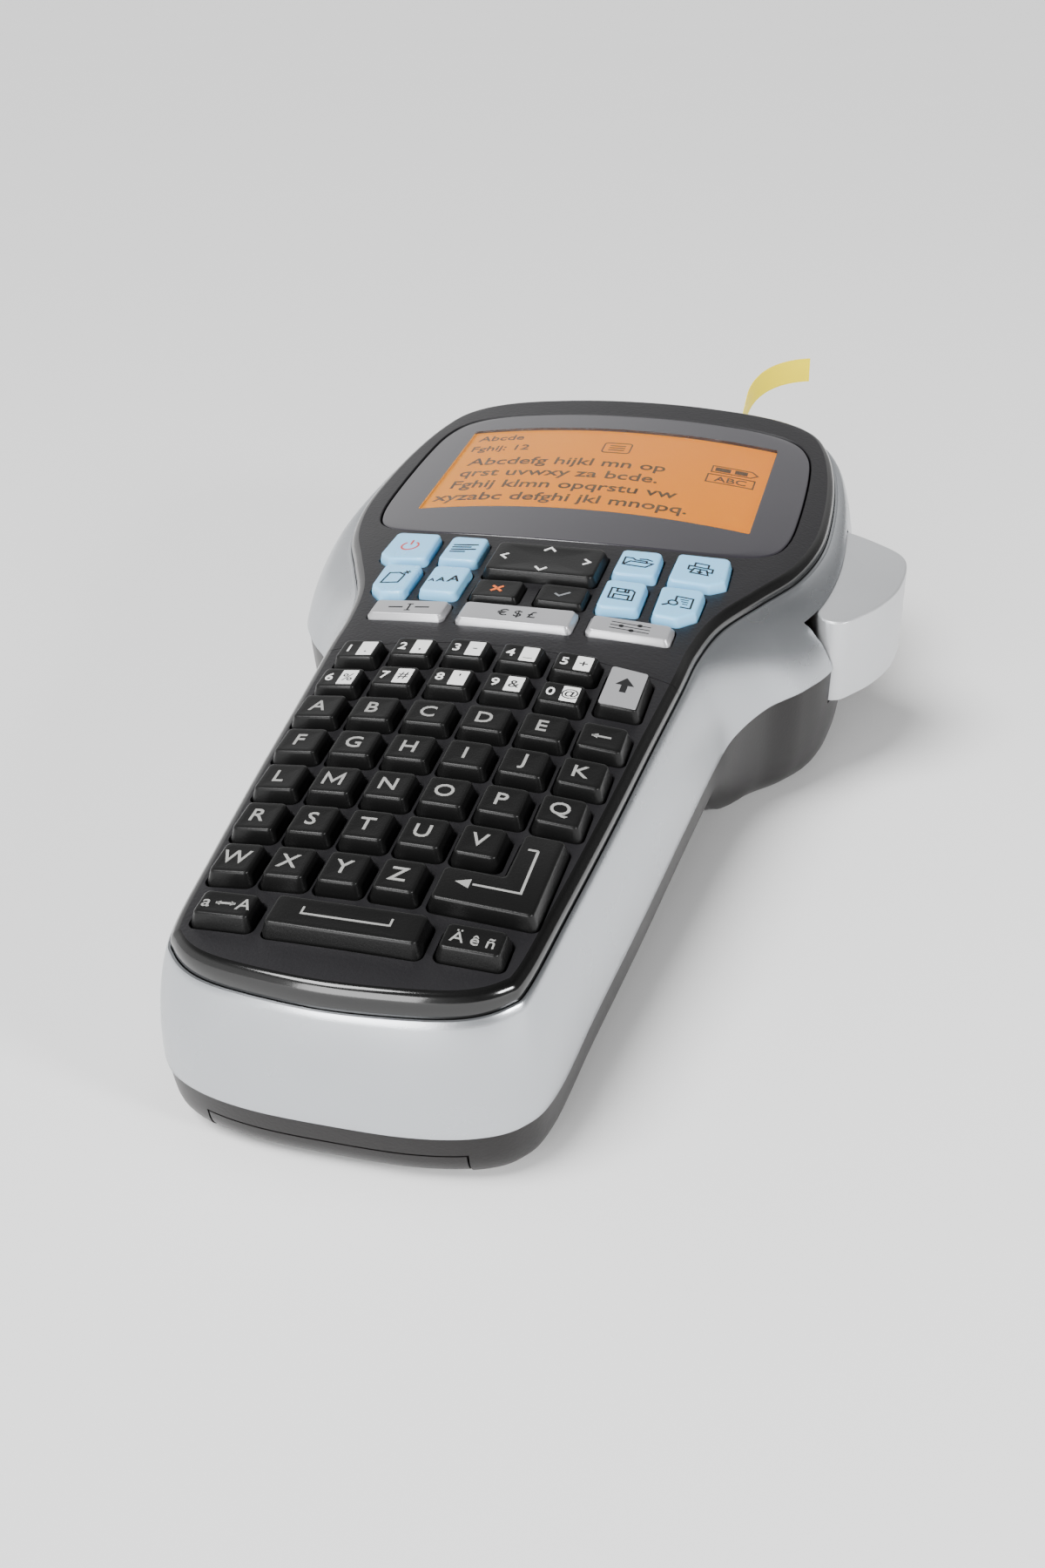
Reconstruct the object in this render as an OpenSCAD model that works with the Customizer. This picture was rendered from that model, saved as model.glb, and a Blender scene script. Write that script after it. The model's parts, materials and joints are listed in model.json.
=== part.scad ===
// Handheld label maker: full keyboard, backlit display, tape cassette in the head.
// The body frame has x to the right, y from the front towards the display and z
// up from the front edge of the keypad plate. place() stands it on its feet.

/* [Body] */
// Overall length of the body, without the label
body_l = 219.5; // [190:0.1:264]
// Factor on the width of the body and of everything laid out across it
width_k = 1; // [0.85:0.01:1.25]
// Depth of the grip from the keypad plate to the underside
grip_depth = 32; // [30:0.5:42]
// Angle at which the body leans back on its feet
rest_tilt = 7.4; // [5:0.1:10]
// Height of the rubber feet under the head
foot_h = 0.8; // [0.5:0.1:2]

/* [Casing] */
// Wall of the lower shell
wall = 2.2; // [1.6:0.1:3]
// Wall of the metallic side band
band_wall = 2; // [1.4:0.1:2.6]
// Height of the lower edge of the side band below the keypad plate
band_low = 22.6; // [19:0.2:25]
// Width of the metallic rim around the plates
band_rim = 0.6; // [0.4:0.1:1]
// Thickness of the two top plates
plate_t = 2; // [1.6:0.1:2.4]
// Depth of the plates' edge
skirt = 4; // [3.5:0.1:5]
// Radius of the crown across the plates
crown_r = 231.5; // [180:1:400]
// Slope of the display plate against the keypad plate
head_tilt = 1.2; // [0:0.1:2]
// Gap between casing parts that meet
seam = 0.15; // [0.1:0.05:0.3]
// Place of the joint between the two top plates
split_y = 93.2; // [92.6:0.1:93.6]

/* [Keys] */
// Distance between letter keys across the keypad
key_pitch = 9.68; // [9:0.02:10.2]
// Narrowing of each letter row towards the front
row_taper = 0.0329; // [0.01:0.001:0.05]
// Distance between letter rows
row_pitch = 10.43; // [9.8:0.01:10.8]
// Depth of a letter key
key_d = 8; // [7:0.1:8.4]
// Height of the letter keys above the plate
key_h = 2.3; // [1.5:0.1:3.5]
// Height of the function keys above the plate
func_h = 1.7; // [1:0.1:2.5]
// Gap around each key in its hole
key_gap = 0.3; // [0.2:0.05:0.45]
// Travel of the keys
key_travel = 1.2; // [0.8:0.1:1.4]
// Thickness of the flange that keeps a key in
flange_t = 0.8; // [0.5:0.1:1]
// Gap between the flange and the plate
flange_gap = 0.2; // [0.1:0.05:0.4]

/* [Display] */
// Half width of the display panel
lcd_hw = 37; // [30:0.5:37.5]
// Depth of the display panel
lcd_d = 49; // [40:0.5:51]
// Thickness of the display panel
lcd_t = 2.4; // [1.5:0.1:2.6]
// Thickness of the display window
lens_t = 1; // [0.8:0.1:1.2]

/* [Battery] */
// Width of the battery pack
batt_w = 37; // [30:0.1:37]
// Length of the battery pack
batt_l = 64; // [50:1:66]
// Thickness of the battery pack
batt_t = 13; // [10:0.5:14]

/* [Tape] */
// Width of the cassette
cass_w = 54; // [50:0.5:55]
// Length of the cassette
cass_l = 62; // [50:0.5:62]
// Height of the cassette
cass_t = 16; // [13:0.1:17]
// Width of the label tape
tape_w = 6; // [6:1:9]
// Thickness of the label tape
tape_t = 0.25; // [0.2:0.05:0.4]
// Radius of the curl at the end of the label
curl_r = 18; // [12:1:30]

/* [Drive] */
// Module of the gears
gear_m = 0.8; // [0.8:0.05:0.85]
// Teeth on the motor pinion
pinion_n = 12; // [12:1:14]
// Teeth on the idler gear
idler_n = 24; // [22:1:25]
// Teeth on the platen gear
platen_n = 18; // [16:1:19]
// Radius of the platen roller
platen_r = 4; // [3.5:0.1:4.4]
// Radial clearance of turning shafts in their bores
run_gap = 0.05; // [0.02:0.01:0.1]
// Angle that the cutter lever is pushed through
lever_angle = 10; // [6:0.5:11]
// Height of the cutter lever
lever_t = 18; // [14:0.5:18]

/* [Hidden] */

// ---- outlines: right half from the front centre to the rear centre ----
head_dy = body_l - 219.5;
// Points beyond the neck move with the body's length
function stretch(p) = [p.x * width_k, p.y + (p.y > 139 ? head_dy : 0)];
// Upper edge of the side band, where it meets the plates
rim_half = [for (p = [
    [0, 1.8], [12, 2.9], [20, 5], [25, 8.6], [27, 13], [28.5, 28], [30.4, 50],
    [32, 72], [33.5, 91], [34.3, 103], [36.6, 115], [42, 128], [47.5, 141],
    [50.6, 156], [51, 172], [49.8, 189], [47, 203], [42.5, 211.5], [33, 215.5],
    [16, 216], [0, 216]
]) stretch(p)];
// Lower edge of the side band, which flares outwards
low_half = [for (p = [
    [0, -1.2], [12, -0.8], [21, 1.1], [26.8, 4.7], [29.9, 11.5], [31.7, 29],
    [34.2, 52], [36.5, 76], [38.6, 96], [40.4, 106], [44.9, 116.5], [51.2, 124.5],
    [55.7, 134], [57, 150], [55.9, 170], [53.4, 189], [49.6, 204],
    [43.5, 213.5], [33, 218], [16, 219.3], [0, 219.5]
]) stretch(p)];
// Display window
window_half = [for (p = [
    [0, 136.9], [18, 138], [32, 140.3], [40, 144.5], [43.2, 152], [44, 166],
    [43.6, 186], [42, 197], [37.5, 203], [27, 205], [13, 204.4], [0, 204.2]
]) [p.x * width_k, p.y + (p.y > 160 ? head_dy : 0)]];

// Catmull-Rom curve through the points of a half outline, level at both ends
function blend_point(a, b, c, d, t) = 0.5 * (2 * b + (c - a) * t
    + (2 * a - 5 * b + 4 * c - d) * t * t + (3 * b - a - 3 * c + d) * t * t * t);
function flip(p) = [-p.x, p.y];
function half_curve(h, n) = [
    for (i = [0 : len(h) - 2]) for (k = [0 : n - 1])
        blend_point(i == 0 ? flip(h[1]) : h[i - 1], h[i], h[i + 1],
            i == len(h) - 2 ? flip(h[i]) : h[i + 2], k / n),
    h[len(h) - 1]
];
function mirrored(c) = concat(c, [for (i = [len(c) - 2 : -1 : 1]) flip(c[i])]);
function outline(h, n = 2) = mirrored(half_curve(h, n));
function unit(v) = v / norm(v);
// The outline moved inwards by d, which may be negative
function inset(r, d) = [for (i = [0 : len(r) - 1])
    let (n = len(r), t = unit(r[(i + 1) % n] - r[(i + n - 1) % n]))
    r[i] + [-t.y, t.x] * (is_list(d) ? d[i] : d)];
function mix(a, b, t) = a + (b - a) * t;
function ramp(t) = let (u = min(1, max(0, t))) u * u * (3 - 2 * u);

rim_ring = outline(rim_half);
low_ring = outline(low_half);
window_ring = outline(window_half, 3);

// ---- heights ----
// Height of the crowned top surface at a point of the body frame
function crown_z(x) = sqrt(crown_r * crown_r - x * x) - crown_r;
function top_z(x, y) = crown_z(x) - max(0, y - split_y) * tan(head_tilt);
// The rim lies deeper at the front than along the sides
rim_drop = 2.3;
front_drop = 1.6;
front_reach = 9;
function rim_z(p) = top_z(p.x, p.y) - rim_drop
    - front_drop * exp(-pow(p.y / front_reach, 2));

// ---- rest ----
// Height of the keypad plate's front apex over the table with a grip 32 deep
apex_height = 31.6;
rest_z = apex_height + (grip_depth - 32) * cos(rest_tilt);
// Height in the body frame of the level h above the table
function level_z(y, h) = (h - rest_z - y * sin(rest_tilt)) / cos(rest_tilt);
// The middle of the wide foot under the head is the origin
foot_line = 123;
rest_y = level_z(foot_line, foot_h) * sin(rest_tilt) - foot_line * cos(rest_tilt);
module place() { translate([0, rest_y, rest_z]) rotate([rest_tilt, 0, 0]) children(); }

// Underside of the shell: flat grip, then a step down to the head's base
step_y0 = 96;
step_y1 = 117;
function base_z(y, lift) = mix(-grip_depth, level_z(max(y, step_y1), foot_h),
    ramp((y - step_y0) / (step_y1 - step_y0))) + lift;
// How far the shell draws in towards its underside, more under the head
draw_in = 6;
grip_share = 0.55;
wall_lean = 0.12;
function edge_in(y) = mix(grip_share, 1, ramp((y - step_y0 + 4) / 20)) * draw_in;
band_step = 0.3;
function shell_ring(s, grow, lift) =
    let (r = inset(low_ring, [for (p = low_ring)
        band_step + grow + edge_in(p.y) * (wall_lean * s + (1 - wall_lean) * pow(s, 6))]))
    [for (p = r) [p.x, p.y, mix(-band_low, base_z(p.y, lift), s)]];

// ---- solids from rings ----
// Rings are counter-clockwise from above; caps join the left and right points
module loft(rings, loop = false) {
    m = len(rings);
    n = len(rings[0]);
    h = n / 2;
    last = (m - 1) * n;
    sides = [for (k = [0 : loop ? m - 1 : m - 2]) for (i = [0 : n - 1])
        let (a = k * n + i, b = k * n + (i + 1) % n,
            c = ((k + 1) % m) * n + (i + 1) % n, d = ((k + 1) % m) * n + i)
        each [[a, b, c], [a, c, d]]];
    ladder = [
        [0, 1, n - 1], [h - 1, h, h + 1],
        for (j = [1 : h - 2]) each [[j, j + 1, n - j - 1], [j, n - j - 1, n - j]]
    ];
    caps = loop ? [] : concat(
        [for (f = ladder) [f[2], f[1], f[0]]],
        [for (f = ladder) [last + f[0], last + f[1], last + f[2]]]);
    polyhedron(points = [for (r = rings) each r], faces = concat(sides, caps),
        convexity = 10);
}
module plan(ring, z0, z1) {
    translate([0, 0, z0]) linear_extrude(height = z1 - z0) polygon(ring);
}
// Everything below the crowned surface, h above the plate
module below_crown(h, head = false) {
    translate([0, split_y, 0]) rotate([head ? -head_tilt : 0, 0, 0])
        translate([0, -split_y - 40, h - crown_r])
            rotate([-90, 0, 0]) cylinder(r = crown_r, h = body_l + 120, $fn = 200);
}
module box(lo, hi) { translate(lo) cube(hi - lo); }

// ---- key layout ----
row_a_y = 66.8;
digit_y = [87.7, 77.8];
digit_d = 7.2;
function row_y(r) = row_a_y - r * row_pitch;
function col_pitch(r) = key_pitch * width_k * (1 - row_taper * r);
function key_x(c, r) = (c - 2.5) * col_pitch(r);
// Corner points of a rectangle round a centre
function rect(x, y, w, d) = [[x - w / 2, y - d / 2], [x + w / 2, y - d / 2],
    [x + w / 2, y + d / 2], [x - w / 2, y + d / 2]];
function wide(q) = [for (p = q) [p.x * width_k, p.y]];
function mirror_key(q) = [for (i = [len(q) - 1 : -1 : 0]) [-q[i].x, q[i].y]];
key_fill = 0.86;
function letter_key(c, r) = rect(key_x(c, r), row_y(r), key_fill * col_pitch(r), key_d);
digit_pitch = 9.76;
digit_x0 = -24.1;
digit_arc = 0.003;
digit_fill = 0.84;
function digit_key(c, k) = let (x = digit_x0 + c * digit_pitch)
    rect(x * width_k, digit_y[k] - digit_arc * x * x, digit_fill * digit_pitch * width_k, digit_d);

size_q = wide([[13.2, 108.4], [21.2, 109.4], [21.1, 120.6], [13.1, 119.8]]);
format_q = wide([[13.2, 122], [21.7, 123], [21.5, 133.8], [13.4, 132.8]]);
outer_low_q = wide([[23.6, 108.6], [28.6, 108.8], [31.6, 112.4], [31.8, 121.8],
    [23.4, 120.6]]);
outer_high_q = wide([[23.8, 122.8], [32, 123.6], [34.8, 126.4], [34.4, 136.6],
    [24, 134.6]]);
ok_q = wide([[1.5, 108.6], [11, 108.6], [11, 116.2], [1.5, 116.2]]);
bar_q = wide([[13.3, 100.2], [28.6, 101.2], [28.6, 107.4], [13.3, 106.8]]);
nav_q = wide([[-11.2, 118], [11.2, 118], [11.2, 131.2], [-11.2, 131.2]]);
symbols_q = wide([[-10.9, 99.6], [10.9, 99.6], [10.9, 107], [-10.9, 107]]);
shift_q = wide([[20.6, 75.4], [28.4, 75.4], [28.4, 88], [20.6, 88.6]]);
enter_q = wide([[9.3, 20.9], [25.2, 20.9], [25.6, 39.4], [18.5, 39.4], [18.2, 29.1],
    [9.3, 29.1]]);
enter_foot_q = wide([[9.3, 20.9], [25.2, 20.9], [25.2, 29.1], [9.3, 29.1]]);
caps_q = wide([[-22.9, 11.8], [-13.4, 11.4], [-13.4, 17.6], [-22.9, 18]]);
accent_q = mirror_key(caps_q);
space_q = wide([[-11.6, 10.8], [11.6, 10.8], [11.6, 18], [-11.6, 18]]);

keypad_keys = concat(
    [for (c = [0 : 4], k = [0, 1]) digit_key(c, k)],
    [for (c = [0 : 5], r = [0 : 2]) letter_key(c, r)],
    [for (c = [0 : 4]) letter_key(c, 3)],
    [for (c = [0 : 3]) letter_key(c, 4)],
    [shift_q, enter_q, caps_q, accent_q, space_q]);
head_keys = concat(
    [for (q = [size_q, format_q, outer_low_q, outer_high_q, ok_q, bar_q])
        each [q, mirror_key(q)]],
    [nav_q, symbols_q]);

key_corner = 1.1;
module key_plan(q, grow = 0) {
    offset(r = key_corner + grow, $fn = 16) offset(delta = -key_corner) polygon(q);
}
key_foot_z = plate_t + flange_gap;
flange_reach = 0.6;
// A flange reaches under the plate fore and aft on the keypad, sideways on the head
function flange_q(q, sideways) = let (
    lo = [min([for (p = q) p.x]), min([for (p = q) p.y])],
    hi = [max([for (p = q) p.x]), max([for (p = q) p.y])],
    c = (lo + hi) / 2, s = hi - lo, g = 2 * flange_reach)
    rect(c.x, c.y, s.x + (sideways ? g : -g), s.y + (sideways ? -g : g));
// foot is the part of the key's outline that carries the flange
// and drop lowers the flange under a key that tilts
module key_solid(q, h, head = false, foot = undef, drop = 0) {
    foot_q = flange_q(foot == undef ? q : foot, head);
    intersection() {
        translate([0, 0, -skirt - 6]) linear_extrude(height = skirt + 12) key_plan(q);
        below_crown(h, head);
        key_slab(head, drop);
    }
    intersection() {
        translate([0, 0, -skirt - 6]) linear_extrude(height = skirt + 6) polygon(foot_q);
        below_crown(-key_foot_z - drop, head);
        key_slab(head, drop);
    }
}
// The space above the underside of the flanges
module key_slab(head, drop) {
    difference() {
        box([-60 * width_k, -5, -16], [60 * width_k, body_l + 5, 8]);
        below_crown(-key_foot_z - flange_t - drop, head);
    }
}
module key_hole(q) {
    translate([0, 0, -skirt - 8]) linear_extrude(height = skirt + 14) key_plan(q, key_gap);
}

// ---- inside levels ----
// The mat lies under the plate at the widest point that it reaches
mat_top = top_z(41.3 * width_k, 138) - plate_t - 1.15;
mat_t = 0.8;
pcb_top = mat_top - mat_t - 0.1;
pcb_t = 1.6;
lcd_top = -4.4;
lcd_y0 = 151.5 + head_dy / 2;
lcd_low = lcd_top - lcd_t - (lcd_y0 + lcd_d - split_y) * tan(head_tilt);
cass_top = lcd_low - 0.35;
cass_x1 = 18;
cass_y1 = 195 + head_dy;
tape_x = 22.4;
tape_z = -16.4;
tape_exit_y = body_l + 2;
tape_straight = 17;
tape_rise = 8;
tip_turn = 75;
cover_hw = 19.4;
cover_gap = 0.3;
cover_sink = 0.4;
cover_top = -26.4;
cover_end = 88;
cover_t = 2;
batt_y1 = 87.8;
bulkhead_y = 89.2;
door_hw = 33.5;
door_gap = 0.35;
door_t = 2;
// Height of the door's outer face above the base of the head
door_lift = 0.2;
hinge_y = 206 + head_dy;
hinge_r = 1.2;
hinge_barrel = 2.2;
hinge_lift = foot_h + door_lift + hinge_barrel + 0.05;
door_y0 = 129;
screw_at = [[27 * width_k, 94], [40.5 * width_k, 140]];
screw_r = 1.2;
screw_head_r = 2.5;
// How far the screw reaches into the bezel's post
screw_grip = 8;
post_r = 2.4;
boss_r = 3.4;
boss_top = -24;
floor_gap = 0.1;

// drive layout in plan
plate_z = -33.8;
frame_t = 1.2;
gear_z = -32.2;
gear_t = 2.6;
line_angle = -80;
platen_at = [tape_x + tape_t / 2 + 0.1 + platen_r, 203 + head_dy];
function along(p, d, a) = p + d * [cos(a), sin(a)];
idler_at = along(platen_at, gear_m * (platen_n + idler_n) / 2, line_angle);
pinion_at = along(idler_at, gear_m * (idler_n + pinion_n) / 2, line_angle);
platen_shaft_r = 1.2;
idler_post_r = 1.5;
motor_shaft_r = 1;
motor_r = 9;
motor_l = 14.5;
// Length of the motor's shaft inside the motor
shaft_depth = 4;
// lever layout in plan
pivot_at = [44 * width_k, 170 + head_dy];
pivot_r = 1.5;
// The lever passes under the display plate's edge at its widest
lever_top = top_z(51 * width_k, 172 + head_dy) - skirt - 0.7;
hub_top = lever_top - 4;
hub_r = 4;
arm_at = [-9.4, 34];
arm_z = -26.1;
arm_t = 2.1;
arm_pin_r = 1.5;
blade_y = 211.4 + head_dy;
blade_base_z = -28;

// ---- casing ----
module bezel_body(head) {
    difference() {
        intersection() {
            plan(inset(rim_ring, band_rim + seam), -skirt - 12, 4);
            below_crown(0, head);
        }
        below_crown(-skirt, head);
        intersection() {
            plan(inset(rim_ring, band_rim + seam + plate_t), -skirt - 14, 4);
            below_crown(-plate_t, head);
        }
    }
}
split_r = 128;
module split_disc(grow) {
    translate([0, split_y - split_r, -30])
        cylinder(r = split_r + grow, h = 60, $fn = 120);
}
module display_bezel() color("dimgray") place() {
    difference() {
        union() {
            difference() {
                bezel_body(true);
                plan(inset(window_ring, -seam), -lens_t - 12, 4);
            }
            window_seat();
        }
        split_disc(seam / 2);
        for (q = head_keys) key_hole(q);
    }
    for (p = screw_at, s = [-1, 1]) bezel_post([s * p.x, p.y]);
}
// Recessed lip under the window, open over the display panel
module window_seat() {
    difference() {
        intersection() {
            plan(inset(window_ring, -seam - 0.5), -14, 2);
            below_crown(-lens_t - 0.3, true);
        }
        below_crown(-lens_t - 1.3, true);
        box([-lcd_hw - 0.5, lcd_y0 - 0.5, -20], [lcd_hw + 0.5, lcd_y0 + lcd_d + 0.5, 4]);
    }
}
module bezel_post(p) {
    difference() {
        intersection() {
            translate([p.x, p.y, boss_top + floor_gap])
                cylinder(r = post_r, h = -boss_top, $fn = 40);
            below_crown(-plate_t + 0.2, true);
        }
        translate([p.x, p.y, boss_top - 1]) cylinder(r = screw_r, h = screw_grip + 3, $fn = 40);
    }
}
module keypad_bezel() color("black") place() {
    difference() {
        intersection() {
            bezel_body(false);
            split_disc(-seam / 2);
        }
        for (q = keypad_keys) key_hole(q);
    }
}
lever_slot_lo = [43.5, 127.5];
lever_slot_hi = [75, 175.5];
module lever_slot() {
    box([lever_slot_lo.x * width_k, lever_slot_lo.y + head_dy, lever_top - lever_t - 1.2],
        [lever_slot_hi.x * width_k, lever_slot_hi.y + head_dy, lever_top + 1]);
}
ledge = 3.4;
// Level where the band's wall becomes the ledge, below the ledge's deepest point
ledge_root = top_z(47 * width_k, 203 + head_dy) - skirt - 3.4;
module side_band() color("silver") place() {
    mid = [for (i = [0 : len(rim_ring) - 1]) mix(rim_ring[i], low_ring[i], 0.5)];
    rim = [for (p = rim_ring) [p.x, p.y, rim_z(p)]];
    rim_in = inset(rim_ring, band_rim);
    foot_in = inset(low_ring, band_wall + 0.3);
    ledge_in = inset(rim_ring, ledge);
    difference() {
        loft([
            [for (i = [0 : len(rim) - 1]) [rim_in[i].x, rim_in[i].y, rim[i].z]],
            [for (p = rim) [p.x, p.y, p.z - 0.3]],
            [for (p = inset(mid, -0.6)) [p.x, p.y, -12.5]],
            [for (p = low_ring) [p.x, p.y, 0.5 - band_low]],
            [for (p = inset(low_ring, 0.5)) [p.x, p.y, -band_low]],
            [for (p = foot_in) [p.x, p.y, -band_low]],
            [for (p = inset(mid, band_wall)) [p.x, p.y, ledge_root]],
            [for (p = ledge_in) [p.x, p.y, top_z(p.x, p.y) - skirt - 2]],
            [for (p = ledge_in) [p.x, p.y, top_z(p.x, p.y) - skirt - 0.3]],
            [for (p = rim_in) [p.x, p.y, top_z(p.x, p.y) - skirt - 0.3]]
        ], true);
        lever_slot();
        tape_slot();
    }
}
module tape_slot() {
    box([tape_x - 0.9, body_l - 8, tape_z - tape_w / 2 - 1.2],
        [tape_x + 0.9, body_l + 2, tape_z + tape_w / 2 + 1.4]);
}
shell_steps = [0, 0.45, 0.75, 0.92, 1];
module shell_body() {
    steps = len(shell_steps) - 1;
    loft(concat(
        [for (k = [steps : -1 : 0]) shell_ring(shell_steps[k], wall, wall)],
        [for (k = [0 : steps]) shell_ring(shell_steps[k], 0, 0)]));
}
module cover_space(grow) {
    box([-cover_hw - grow, -20, -80], [cover_hw + grow, cover_end + grow, cover_top + grow]);
}
module door_space(grow) {
    box([-door_hw - grow, door_line(door_y0) - grow, -5],
        [door_hw + grow, door_line(hinge_y) + hinge_barrel + grow, 9]);
}
// Table-frame y of a point on the base of the head
function door_line(y) = rest_y + y * cos(rest_tilt) - level_z(y, foot_h) * sin(rest_tilt);
module screw_boss(p) {
    low = base_z(p.y, 0) + 0.8;
    translate([p.x, p.y, low]) cylinder(r = boss_r, h = boss_top - low, $fn = 48);
}
module screw_bore(p) {
    low = base_z(p.y, 0);
    translate([p.x, p.y, low - 6]) cylinder(r = screw_r + 0.1, h = 60, $fn = 40);
    translate([p.x, p.y, low - 6]) cylinder(r = screw_head_r + 0.2, h = 8.4, $fn = 40);
}
frame_posts = [[46, 153], [47, 186]];
module bottom_shell() color([0.07, 0.07, 0.07]) {
    difference() {
        union() {
            place() difference() {
                shell_body();
                cover_space(cover_gap);
                lever_slot();
            }
            place() {
                intersection() {
                    union() {
                        box([-24, bulkhead_y, -grip_depth + 1], [24, bulkhead_y + 1.5, -13]);
                        for (p = frame_posts)
                            translate([p.x * width_k, p.y + head_dy, -60])
                                cylinder(r = 3, h = 60 + plate_z - floor_gap, $fn = 40);
                    }
                    shell_fill();
                }
                for (p = screw_at, s = [-1, 1]) screw_boss([s * p.x, p.y]);
            }
            hinge_ears();
        }
        intersection() {
            door_space(door_gap);
            box([-80, -200, -5], [80, 200, foot_h + wall + 6]);
            ear_clear();
        }
        place() for (p = screw_at, s = [-1, 1]) screw_bore([s * p.x, p.y]);
        place() jack_holes();
        translate([-60, door_line(hinge_y), hinge_lift])
            rotate([0, 90, 0]) cylinder(r = hinge_r + 0.02, h = 120, $fn = 48);
    }
}
module shell_fill() {
    loft([for (k = [0 : len(shell_steps) - 1]) shell_ring(shell_steps[k], 0.6, 0.6)]);
}
ear_x = [[-33.2, -28.6], [28.6, 33.2]];
module ear_clear() {
    // Leaves the ears standing in the door's opening
    difference() {
        box([-80, -200, -6], [80, 200, 20]);
        for (e = ear_x) box([e[0], door_line(hinge_y), foot_h],
            [e[1], door_line(hinge_y) + 6, 12]);
    }
}
module hinge_ears() {
    for (e = ear_x) {
        translate([e[0], door_line(hinge_y), hinge_lift])
            rotate([0, 90, 0]) cylinder(r = hinge_barrel, h = e[1] - e[0], $fn = 48);
        box([e[0], door_line(hinge_y), foot_h + 0.3],
            [e[1], door_line(hinge_y) + 4.5, hinge_lift]);
    }
}
module battery_cover() color([0.09, 0.09, 0.09]) place() {
    intersection() {
        cover_space(0);
        loft(concat(
            [for (k = [4 : -1 : 0]) shell_ring(shell_steps[k], cover_t, cover_sink + cover_t)],
            [for (k = [0 : 4]) shell_ring(shell_steps[k], 0, cover_sink)]));
    }
}
module cassette_door() color([0.1, 0.1, 0.1]) {
    y0 = door_line(door_y0);
    y1 = door_line(hinge_y);
    z0 = foot_h + door_lift;
    difference() {
        union() {
            box([-door_hw, y0, z0], [door_hw, y1, z0 + door_t]);
            for (s = [-1, 1]) translate([s * 18 - 10, y1, hinge_lift])
                rotate([0, 90, 0]) cylinder(r = hinge_barrel, h = 20, $fn = 48);
            place() for (x = [-24, 6]) box([x, 158 + head_dy, -60],
                [x + 2, 186 + head_dy, cass_top - cass_t - 0.3]);
        }
        box([-60, -200, -60], [60, 200, z0]);
        for (e = ear_x) box([e[0] - 0.4, y1 - 3, -1], [e[1] + 0.4, y1 + 6, 12]);
        box([-8.4, y1 - 3, -1], [8.4, y1 + 6, 12]);
        translate([-60, y1, hinge_lift])
            rotate([0, 90, 0]) cylinder(r = hinge_r + run_gap, h = 120, $fn = 48);
    }
}
module door_hinge_pin() color("silver") {
    translate([-33, door_line(hinge_y), hinge_lift])
        rotate([0, 90, 0]) cylinder(r = hinge_r, h = 66, $fn = 48);
}

// ---- display and board ----
module display_window() color([0.25, 0.25, 0.28]) place() {
    difference() {
        intersection() {
            plan(window_ring, -14, 2);
            below_crown(-0.2, true);
        }
        below_crown(-0.2 - lens_t, true);
    }
}
module lcd_module() color("orange") place() {
    translate([0, split_y, 0]) rotate([-head_tilt, 0, 0])
        box([-lcd_hw, lcd_y0 - split_y, lcd_top - lcd_t], [lcd_hw, lcd_y0 + lcd_d - split_y, lcd_top]);
}
board_end = cass_y1 - cass_l - 1;
module main_pcb() color("green") place() {
    difference() {
        intersection() {
            plan(inset(rim_ring, 5.6), pcb_top - pcb_t, pcb_top);
            box([-80, 13, -20], [80, board_end, 0]);
        }
        for (p = screw_at, s = [-1, 1]) translate([s * p.x, p.y, -20])
            cylinder(r = boss_r + 0.4, h = 20, $fn = 40);
    }
}
dome_r = 1.8;
module keypad_mat() color("gray") place() {
    difference() {
        union() {
            intersection() {
                plan(inset(rim_ring, 5.2), mat_top - mat_t, mat_top);
                box([-80, 10, -20], [80, 138, 0]);
            }
            for (q = concat(keypad_keys, head_keys)) key_dome(q, q == nav_q ? nav_drop : 0);
        }
        for (p = screw_at, s = [-1, 1]) translate([s * p.x, p.y, -20])
            cylinder(r = boss_r + 0.3, h = 20, $fn = 40);
    }
}
function centre(q) = [for (k = [0, 1])
    (min([for (p = q) p[k]]) + max([for (p = q) p[k]])) / 2];
// A dome ends just below where its key's foot comes when it is pressed
module key_dome(q, drop) {
    c = centre(q);
    foot_z = top_z(abs(c.x) + dome_r + 3, c.y) - key_foot_z - flange_t - drop;
    low = foot_z - key_travel - 0.35;
    if (low > mat_top + 0.05) translate([c.x, c.y, mat_top - mat_t / 2])
        cylinder(r = dome_r, h = low - mat_top + mat_t / 2, $fn = 32);
}

// ---- battery ----
batt_low = -grip_depth + cover_sink + cover_t + 0.3;
contact_x = 9;
module battery_pack() color([0.2, 0.2, 0.22]) place() {
    difference() {
        box([-batt_w / 2, batt_y1 - batt_l, batt_low], [batt_w / 2, batt_y1, batt_low + batt_t]);
        for (s = [-1, 1]) box([s * contact_x - 2, batt_y1 - 1, batt_low + 2],
            [s * contact_x + 2, batt_y1 + 1, batt_low + 7]);
    }
}
module battery_contacts() color("gold") place() {
    for (s = [-1, 1]) union() {
        box([s * contact_x - 3, bulkhead_y - 0.5, batt_low + 1],
            [s * contact_x + 3, bulkhead_y - 0.1, batt_low + 12]);
        box([s * contact_x - 1.4, batt_y1 - 0.7, batt_low + 2.6],
            [s * contact_x + 1.4, bulkhead_y - 0.3, batt_low + 6.4]);
    }
}

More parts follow.
